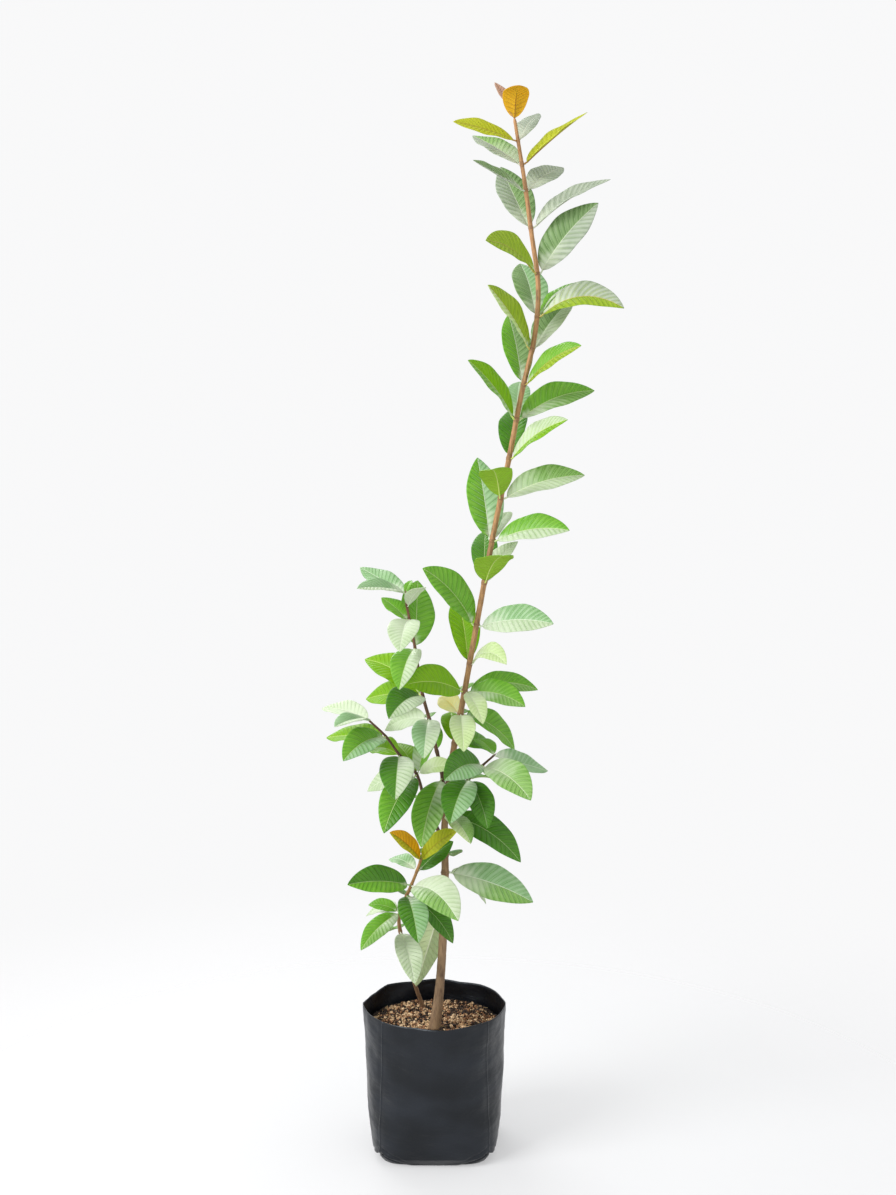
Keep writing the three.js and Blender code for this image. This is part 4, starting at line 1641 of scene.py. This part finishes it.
@dataclass
class GrowBag:
    """The gusseted film bag, with its fold lines, tucked base corners and uneven mouth.

    Attributes:
        height: Height of the mouth in mm.
        wall: Thickness of the film in mm.
        profile: Its half width as rows of height and half width.
        squareness: The power of its section's outline, as rows of height and power: 2 is round.
        folds: Bearings of its four fold lines.
        fold_ridge: How far a fold line stands out, in mm.
        fold_groove: Depth of the groove beside it, in mm.
        corners: Bearings of its four base corners.
        tuck: The flap at each of those corners.
        mouth: The mouth's corners, as bearing, radius and height.
        free_from: Height from which the film follows the mouth's outline, in mm.
        lip_from: Height from which it rises and falls with the mouth, in mm.
        base_rows: Rows of the underside, as shares of its radius.
        slack_from: Heights between which the film's slack comes in, in mm.
        low_step: Distance between rows at the base corners, in mm.
        columns: Columns round the bag, besides those of its corners and folds.
        finish: The film.
    """

    height: float = 206.0
    wall: float = 0.7
    profile: Sequence[tuple[float, float]] = (
        (0, 78), (2, 80), (12, 88), (28, 91.5), (55, 95), (100, 97.5), (160, 99.5), (206, 101),
    )
    squareness: Sequence[tuple[float, float]] = (
        (0, 5.0), (12, 4.2), (30, 3.2), (70, 2.5), (130, 2.1), (160, 2.0),
    )
    folds: tuple[float, ...] = (-43.0, 44.0, 136.0, -137.0)
    fold_ridge: float = 0.4
    fold_groove: float = 0.15
    corners: tuple[float, ...] = (-45.0, 45.0, 135.0, -135.0)
    tuck: CornerTuck = CornerTuck()
    mouth: Sequence[tuple[float, float, float]] = (
        (-178, 102.9, 207), (-166, 99.8, 205), (-144, 98.6, 204.5), (-124, 99.4, 205), (-106, 96.5, 205.5),
        (-82, 102.5, 205), (-61, 100.8, 206), (-40, 101.6, 206), (-14, 99.6, 205.5), (-1, 101.9, 207),
        (12, 98.4, 206.5), (49, 101.3, 206), (68, 98.5, 204.5), (86, 101.9, 206), (110, 98, 205),
        (132, 105, 205.5), (150, 99.5, 204), (168, 98.8, 205.5), (182, 102.9, 207),
    )
    free_from: float = 150.0
    lip_from: float = 165.0
    base_rows: tuple[float, ...] = (0.02, 0.25, 0.5, 0.72, 0.88, 0.96)
    slack_from: tuple[float, float] = (8.0, 45.0)
    low_step: float = 0.8
    columns: int = 160
    finish: FilmFinish = FilmFinish()

    def section(self, angle: float, height: float) -> float:
        """Distance of the plain bag's outline from its axis.

        Args:
            angle: Radians round the bag.
            height: Millimetres above the floor.

        Returns:
            The distance in mm.
        """
        power = float(np.interp(height, *zip(*self.squareness)))
        spread = abs(math.cos(angle)) ** power + abs(math.sin(angle)) ** power
        return float(np.interp(height, *zip(*self.profile))) * spread ** (-1 / power)

    def surface(self, angle: float, height: float) -> tuple[float, float, float]:
        """A point of the film's outer face, with its folds, creases and corners.

        Args:
            angle: Radians round the bag.
            height: Millimetres above the floor.

        Returns:
            The point.
        """
        bearing = (math.degrees(angle) + 180) % 360 - 180
        bearings, reaches, levels = zip(*self.mouth)
        free = float(smooth(height, self.free_from, self.height))
        mouth_reach = float(np.interp(bearing, bearings, reaches))
        mouth_level = float(np.interp(bearing, bearings, levels))
        radius = self.section(angle, height) * (1 - free) + free * mouth_reach
        lip = float(smooth(height, self.lip_from, self.height))
        level = height + lip * (mouth_level - self.height)
        arc = self._gap(bearing, self.folds) * radius
        radius += self.fold_ridge * hump(arc, 0.7) - self.fold_groove * hump(arc - 3.5, 3.0)
        x, y, z = round_spot(radius, angle, level)
        slack = float(smooth(height, *self.slack_from))
        radius += slack * (1.1 * grain((x, y, z), 50, 3) + 0.5 * grain((x, y, z * 2.6), 22, 9))
        radius -= self.tuck.inset(self._gap(bearing, self.corners) * radius, height)
        return round_spot(radius, angle, level)

    @staticmethod
    def _gap(bearing: float, lines: Iterable[float]) -> float:
        """Radians from a bearing to the nearest of some lines."""
        return math.radians(min(abs((bearing - line + 180) % 360 - 180) for line in lines))

    def _turns(self) -> list[float]:
        """Lays out the columns, closer together at each base corner and fold line.

        Returns:
            Their turns round the bag, from 0 up to 1.
        """
        turns = {round(turn, 5) for turn in even_turns(self.columns)}
        for corner in self.corners:
            turns |= {round((corner + step) % 360 / 360, 5) for step in range(-21, 22)}
        for fold in self.folds:
            turns |= {
                round((fold + step) % 360 / 360, 5) for step in (-1.4, -0.8, -0.4, 0.0, 0.4, 0.8, 1.4)
            }
        return sorted(turns)

    def _rows(self) -> list[float]:
        """Lays out the rows, closer together at the base corners.

        Returns:
            Their heights in mm, or less than zero for a share of the underside's radius.
        """
        base = [-share for share in self.base_rows]
        low = [0.0, 0.5, 1.2, 2.0, *(2.8 + self.low_step * i for i in range(29)), 27.2, 29.6, 32.0]
        high = [34.5 + 3.3 * i for i in range(52)]
        return [*base, *low, *high, self.height]

    def _point(self, turn: float, row: float) -> Sequence[float]:
        """Finds a point of the wall or of the underside.

        Args:
            turn: How far round the bag the point lies, from 0 up to 1.
            row: Its height in mm, or less than zero for a share of the underside's radius.

        Returns:
            The point.
        """
        angle = math.tau * turn
        if row >= 0:
            return self.surface(angle, row)
        x, y, _ = self.surface(angle, 0.0)
        return x * -row, y * -row, 0.0

    def build(self) -> list[bpy.types.Object]:
        """Makes the bag's piece, whose film is given its thickness by a modifier.

        Returns:
            The piece, as a list of one.
        """
        bm = bmesh.new()
        wrapped_grid(bm, self._turns(), self._rows(), self._point)
        lids = [f for f in bm.faces if len(f.verts) > 20 and f.calc_center_median().z > self.height / 2]
        bmesh.ops.delete(bm, geom=lids, context="FACES_ONLY")
        bmesh.ops.recalc_face_normals(bm, faces=bm.faces)
        piece = make_piece("bag_film", bm, [self.finish.material()], "bag_film", ["grow_bag"])
        film = piece.modifiers.new("Film", "SOLIDIFY")
        film.thickness = self.wall * MM
        film.offset = -1.0
        return [piece]


# ------------------------------------------------------------------ soil


@dataclass(frozen=True)
class SoilFinish:
    """A crumbly potting mix, or the loose pieces of it.

    Attributes:
        colour: Its colour.
        light: Its lighter crumbs' colour.
        dark: Colour of its gaps, a painted shade between the crumbs.
        name: The material's name.
    """

    colour: str
    light: str
    dark: str
    name: str

    def material(self) -> bpy.types.Material:
        """Crumbs of two shades, with painted shade darkening the gaps between them.

        Returns:
            The material.
        """
        sheet = NodeSheet(self.name)
        surface = sheet.place()
        # Painted shade: each crumb's cell is painted dark towards its edge, where the gaps between crumbs
        # lie.
        crumbs = sheet.cells(surface, 380)
        clouds = sheet.noise(surface, 150, 5, 0.7)
        base = sheet.mix(clouds.step(0.35, 0.65), paint(self.colour), paint(self.light))
        return sheet.finish(
            Base_Color=sheet.mix(crumbs.step(0.35, 0.8) * 0.8, base, paint(self.dark)),
            Roughness=0.92,
            Normal=sheet.bump(clouds - crumbs * 0.7, 0.9, 0.002),
        )


class Litter(Enum):
    """The kinds of loose pieces on the soil, by material number."""

    BROWN = 0
    TAN = 1
    DARK = 2
    STRAW = 3


SOIL_BODY = SoilFinish("#2b1b11", "#463121", "#0c0704", "potting_mix")
LITTER_FINISHES = {
    Litter.BROWN: SoilFinish("#80573a", "#a97c55", "#2a1a10", "brown_granules"),
    Litter.TAN: SoilFinish("#c49c72", "#ecd0a8", "#6d4d30", "tan_granules"),
    Litter.DARK: SoilFinish("#24170f", "#3b2619", "#0d0805", "dark_granules"),
    Litter.STRAW: SoilFinish("#c9ab78", "#e2cb9c", "#8f7448", "straw"),
}


@dataclass
class Soil:
    """The potting mix: a body with a crumbled top, and loose chips on it.

    Attributes:
        top: Height of the surface in mm.
        sunk: How far the crumbled surface lies below that on average, in mm.
        radius: Radius at the surface in mm.
        wall_gap: Gap between the body and the bag's outline, in mm.
        corner_gap: That gap at the tucked base corners, in mm.
        corner_top: Height up to which the corners are tucked, in mm.
        base_rows: Rows of the underside, as shares of its radius.
        ring_heights: Heights of the side's rows, from the underside up, in mm.
        top_rows: Rows of the crumbled surface.
        columns: Columns round the body.
        lumps: Lumps of the surface, as rows of height and width in mm, and seed.
        mound: Height of the mound round each stem's foot, in mm.
        chips: Number of loose chips.
        chip_sizes: Radii of the chips in mm.
        chip_shares: Shares of the brown, tan and dark chips.
        chip_patch: How much the tan and dark shares change over the surface.
        chip_lift: How far a chip's middle stands above the surface, as a share of its radius.
        straws: Number of straws.
        straw_sides: Faces round a straw.
        edge_gap: Width of the strip at the bag's wall that has none of them, in mm.
        seed: Seed of where they lie.
        bag: The bag that the mix fills.
    """

    top: float = 178.0
    sunk: float = 1.5
    radius: float = 95.5
    wall_gap: float = 4.5
    corner_gap: float = 11.0
    corner_top: float = 30.0
    base_rows: tuple[float, ...] = (0.02, 0.3, 0.6, 0.94)
    ring_heights: tuple[float, ...] = (4.0, 20.0, 55.0, 110.0, 160.0, 174.0)
    top_rows: int = 42
    columns: int = 150
    lumps: Sequence[tuple[float, float, float]] = ((2.2, 26, 2), (1.5, 9, 5), (1.0, 4, 8))
    mound: float = 1.2
    chips: int = 3900
    chip_sizes: tuple[float, ...] = (0.8, 1.0, 1.3, 1.7, 2.3, 3.1)
    chip_shares: tuple[float, float, float] = (0.34, 0.38, 0.28)
    chip_patch: float = 0.26
    chip_lift: float = 0.4
    straws: int = 24
    straw_sides: int = 5
    edge_gap: float = 5.0
    seed: int = 5
    bag: GrowBag = field(default_factory=GrowBag)

    # Row numbers of the crumbled surface start here, past those of the side.
    SURFACE_ROW = 100

    def level(self, x: float, y: float) -> float:
        """Measures the crumbled surface.

        Args:
            x: Millimetres to the right of the bag's axis.
            y: Millimetres behind it.

        Returns:
            The surface's height there, in mm.
        """
        spot = (x, y, 0.0)
        lumps = sum(height * grain(spot, width, seed) for height, width, seed in self.lumps)
        feet = [shoot.path[0] for shoot in (LEADER, BASAL_STEM)]
        nearest = min(math.hypot(x - foot[0], y - foot[1]) for foot in feet)
        mound = self.mound * (1 - float(smooth(nearest, 8, 20)))
        return self.top - self.sunk + lumps * float(smooth(nearest, 6, 22)) + mound

    def build(self) -> list[bpy.types.Object]:
        """Makes the soil's body and its chips.

        Returns:
            The two pieces.
        """
        rows = [-share for share in self.base_rows]
        rows += range(len(self.ring_heights))
        rows += [self.SURFACE_ROW + i for i in range(self.top_rows + 1)]
        bm = bmesh.new()
        wrapped_grid(bm, even_turns(self.columns), rows, self._point)
        bmesh.ops.recalc_face_normals(bm, faces=bm.faces)
        body = make_piece("potting_mix", bm, [SOIL_BODY.material()], "potting_soil", ["soil"])
        return [body, self._litter()]

    def _point(self, turn: float, row: float) -> Sequence[float]:
        """Finds a point of the body.

        Args:
            turn: How far round it the point lies, from 0 up to 1.
            row: Less than zero on the underside, then the number of a row of the side, and past
                SURFACE_ROW a row of the crumbled surface, from its edge inwards.

        Returns:
            The point.
        """
        angle = math.tau * turn
        if row < self.SURFACE_ROW:
            height = self.ring_heights[max(0, int(row))]
            gap = self.corner_gap if height < self.corner_top else self.wall_gap
            radius = self.bag.section(angle, height) - gap
            return round_spot(radius * (-row if row < 0 else 1.0), angle, height)
        reach = self.radius * (1 - (row - self.SURFACE_ROW) / self.top_rows) + 0.3
        x, y, _ = round_spot(reach, angle, 0.0)
        return x, y, self.level(x, y)

    def _litter(self) -> bpy.types.Object:
        """Makes the loose granules, bark chips and straws on the surface.

        Returns:
            The piece.
        """
        chance = random.Random(self.seed)
        bm = bmesh.new()
        for _ in range(self.chips):
            self._add_chip(bm, chance)
        for _ in range(self.straws):
            self._add_straw(bm, chance)
        materials = [LITTER_FINISHES[kind].material() for kind in Litter]
        return make_piece("potting_mix_chips", bm, materials, "potting_soil", smooth_faces=False)

    def _spot(self, chance: random.Random) -> tuple[float, float]:
        """Picks a place on the surface, all of them as likely.

        Args:
            chance: Gives the place.

        Returns:
            Millimetres to the right of the bag's axis, and behind it.
        """
        angle = chance.uniform(0, math.tau)
        x, y, _ = round_spot((self.radius - self.edge_gap) * math.sqrt(chance.random()), angle, 0.0)
        return x, y

    def _add_chip(self, bm: bmesh.types.BMesh, chance: random.Random) -> None:
        """Adds one uneven granule, half sunk in the surface.

        Args:
            bm: The mesh to add to.
            chance: Gives its place, shape and kind.
        """
        x, y = self._spot(chance)
        size = chance.choice(self.chip_sizes) * chance.uniform(0.75, 1.15)
        first = len(bm.faces)
        verts = bmesh.ops.create_icosphere(bm, subdivisions=1, radius=size)["verts"]
        stretch = [chance.uniform(0.55, 1.2) for _ in range(3)]
        turn = chance.uniform(0, math.pi)
        cos, sin = math.cos(turn), math.sin(turn)
        for vert in verts:
            spot = Vector(v * s for v, s in zip(vert.co, stretch)) * chance.uniform(0.82, 1.15)
            vert.co = (x + spot.x * cos - spot.y * sin, y + spot.x * sin + spot.y * cos, spot.z)
            vert.co.z += self.level(x, y) + self.chip_lift * size
        patch = max(-self.chip_patch, min(self.chip_patch, 0.9 * grain((x, y, 0.0), 26, 4)))
        brown, tan, dark = self.chip_shares
        kinds = (Litter.BROWN, Litter.TAN, Litter.DARK)
        kind = chance.choices(kinds, [brown, tan + patch, dark - patch])[0]
        mark_faces(bm, first, kind.value)

    def _add_straw(self, bm: bmesh.types.BMesh, chance: random.Random) -> None:
        """Adds one thin straw that lies on the surface.

        Args:
            bm: The mesh to add to.
            chance: Gives its place and shape.
        """
        x, y = self._spot(chance)
        length, girth = chance.uniform(7, 20), chance.uniform(0.2, 0.36)
        bearing, bend = chance.uniform(0, math.tau), chance.uniform(-3, 3)
        rise = chance.uniform(0.5, 3.5)

        def place(turn: float, row: float) -> Sequence[float]:
            """Finds a point of the straw.

            Args:
                turn: How far round it the point lies, from 0 up to 1.
                row: How far along it the point lies, from 0 to 1.

            Returns:
                The point.
            """
            angle = math.tau * turn
            along = (row - 0.5) * length
            off = bend * math.sin(math.pi * row) + girth * math.cos(angle)
            px = x + along * math.cos(bearing) - off * math.sin(bearing)
            py = y + along * math.sin(bearing) + off * math.cos(bearing)
            return px, py, self.level(x, y) + rise * row + 1.2 + girth * math.sin(angle)

        first = len(bm.faces)
        wrapped_grid(bm, even_turns(self.straw_sides), [0, 0.25, 0.5, 0.75, 1], place)
        mark_faces(bm, first, Litter.STRAW.value)


# ------------------------------------------------------------------ studio


@dataclass(frozen=True)
class Lamp:
    """One square soft lamp.

    Attributes:
        name: Its name.
        place: Where it hangs, in metres.
        aim: The height on the plant's axis that it is aimed at, in metres.
        power: Its power in watts.
        size: Its side in metres.
    """

    name: str
    place: tuple[float, float, float]
    aim: float
    power: float
    size: float = 1.6

    def build(self) -> None:
        """Hangs the lamp."""
        light = bpy.data.lights.new(self.name, "AREA")
        light.size = self.size
        light.energy = self.power
        lamp = add_object(self.name, light)
        lamp.location = self.place
        sight = Vector((0.0, 0.0, self.aim)) - Vector(self.place)
        lamp.rotation_euler = sight.to_track_quat("-Z", "Y").to_euler()


@dataclass
class Studio:
    """The pale floor, the soft light and the camera.

    Attributes:
        lamps: The soft lamps.
        floor_half: Half the floor's side in metres.
        floor_cover: How much of the surround the floor covers beside the plant.
        floor_fade: Distances from the plant between which the floor fades away, in metres.
        camera_place: Where the camera stands, in metres.
        camera_tilt: Degrees that it looks down.
        lens: Its focal length in mm.
        sensor: Its sensor's width in mm.
    """

    lamps: tuple[Lamp, ...] = (
        Lamp("key_lamp", (-2.3, -1.5, 2.4), 0.75, 90),
        Lamp("back_lamp", (-1.0, 2.2, 2.0), 0.8, 34),
    )
    floor_half: float = 6.0
    floor_cover: float = 0.6
    floor_fade: tuple[float, float] = (0.25, 1.4)
    camera_place: tuple[float, float, float] = (0.019, -2.284, 1.066)
    camera_tilt: float = 6.9
    lens: float = 50.0
    sensor: float = 36.0

    FLOOR = (0.65, 0.653, 0.665)
    FLOOR_LIGHT = (0.67, 0.673, 0.685)
    SURROUND = (0.945, 0.945, 0.95)

    def build(self) -> None:
        """Sets up the floor, the light and the camera."""
        self._floor()
        self._sky()
        for lamp in self.lamps:
            lamp.build()
        self._camera()
        bpy.context.scene.view_settings.view_transform = "Standard"

    def _floor(self) -> None:
        """A wide pale floor that fades into the surround away from the plant."""
        bm = bmesh.new()
        bmesh.ops.create_grid(bm, x_segments=2, y_segments=2, size=self.floor_half)
        sheet = NodeSheet("pale_floor")
        surface = sheet.place()
        across, deep = sheet.axis(surface, "X"), sheet.axis(surface, "Y")
        reach = sheet.math("SQRT", across * across + deep * deep)
        finish = sheet.finish(
            Base_Color=sheet.mix(sheet.noise(surface, 4, 2), self.FLOOR, self.FLOOR_LIGHT),
            Roughness=0.85,
            Alpha=self.floor_cover * (1.0 - reach.step(*self.floor_fade)),
        )
        add_object("floor", close_mesh("floor", bm, [finish]))

    def _sky(self) -> None:
        """An even white surround, which gives the soft light."""
        world = bpy.data.worlds.new("surround")
        world.use_nodes = True
        background = world.node_tree.nodes["Background"]
        background.inputs["Color"].default_value = (*self.SURROUND, 1.0)
        bpy.context.scene.world = world

    def _camera(self) -> None:
        """Adds the camera and makes it the scene's own."""
        data = bpy.data.cameras.new("camera")
        data.lens = self.lens
        data.sensor_width = self.sensor
        camera = add_object("camera", data)
        camera.location = self.camera_place
        camera.rotation_euler = (math.radians(90 - self.camera_tilt), 0.0, 0.0)
        bpy.context.scene.camera = camera


# ------------------------------------------------------------------ assembly

OLD_BARK = BarkFinish("trunk_bark", "#8f7456", "#b28457", "#5a4230", 200, 900)
STEM_BARK = BarkFinish("basal_stem_bark", "#82664b", "#a47a48", "#50392a", 190, 400)
BOUGH_BARK = BarkFinish("bough_bark", "#5d4232", "#7a5238", "#36241a", 450, 800)
BOUGHS = (UPPER_LEFT_BOUGH, LOWER_LEFT_BOUGH, RIGHT_BOUGH)


def main() -> None:
    """Builds the bag, the soil, the limbs, the leaves and the studio, in that order."""
    logging.basicConfig(level=logging.INFO, format="%(name)s %(message)s")
    makers = [
        GrowBag(),
        Soil(),
        Wood(LEADER, OLD_BARK, "bark"),
        Wood(BASAL_STEM, STEM_BARK, "bark", sides=14),
        *(Wood(shoot, BOUGH_BARK, "young_bark", sides=12) for shoot in BOUGHS),
        Foliage(),
    ]
    for maker in makers:
        for piece in maker.build():
            LOG.info("%s: %d faces", piece.name, len(piece.data.polygons))
    Studio().build()
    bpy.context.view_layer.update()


if __name__ == "__main__":
    main()
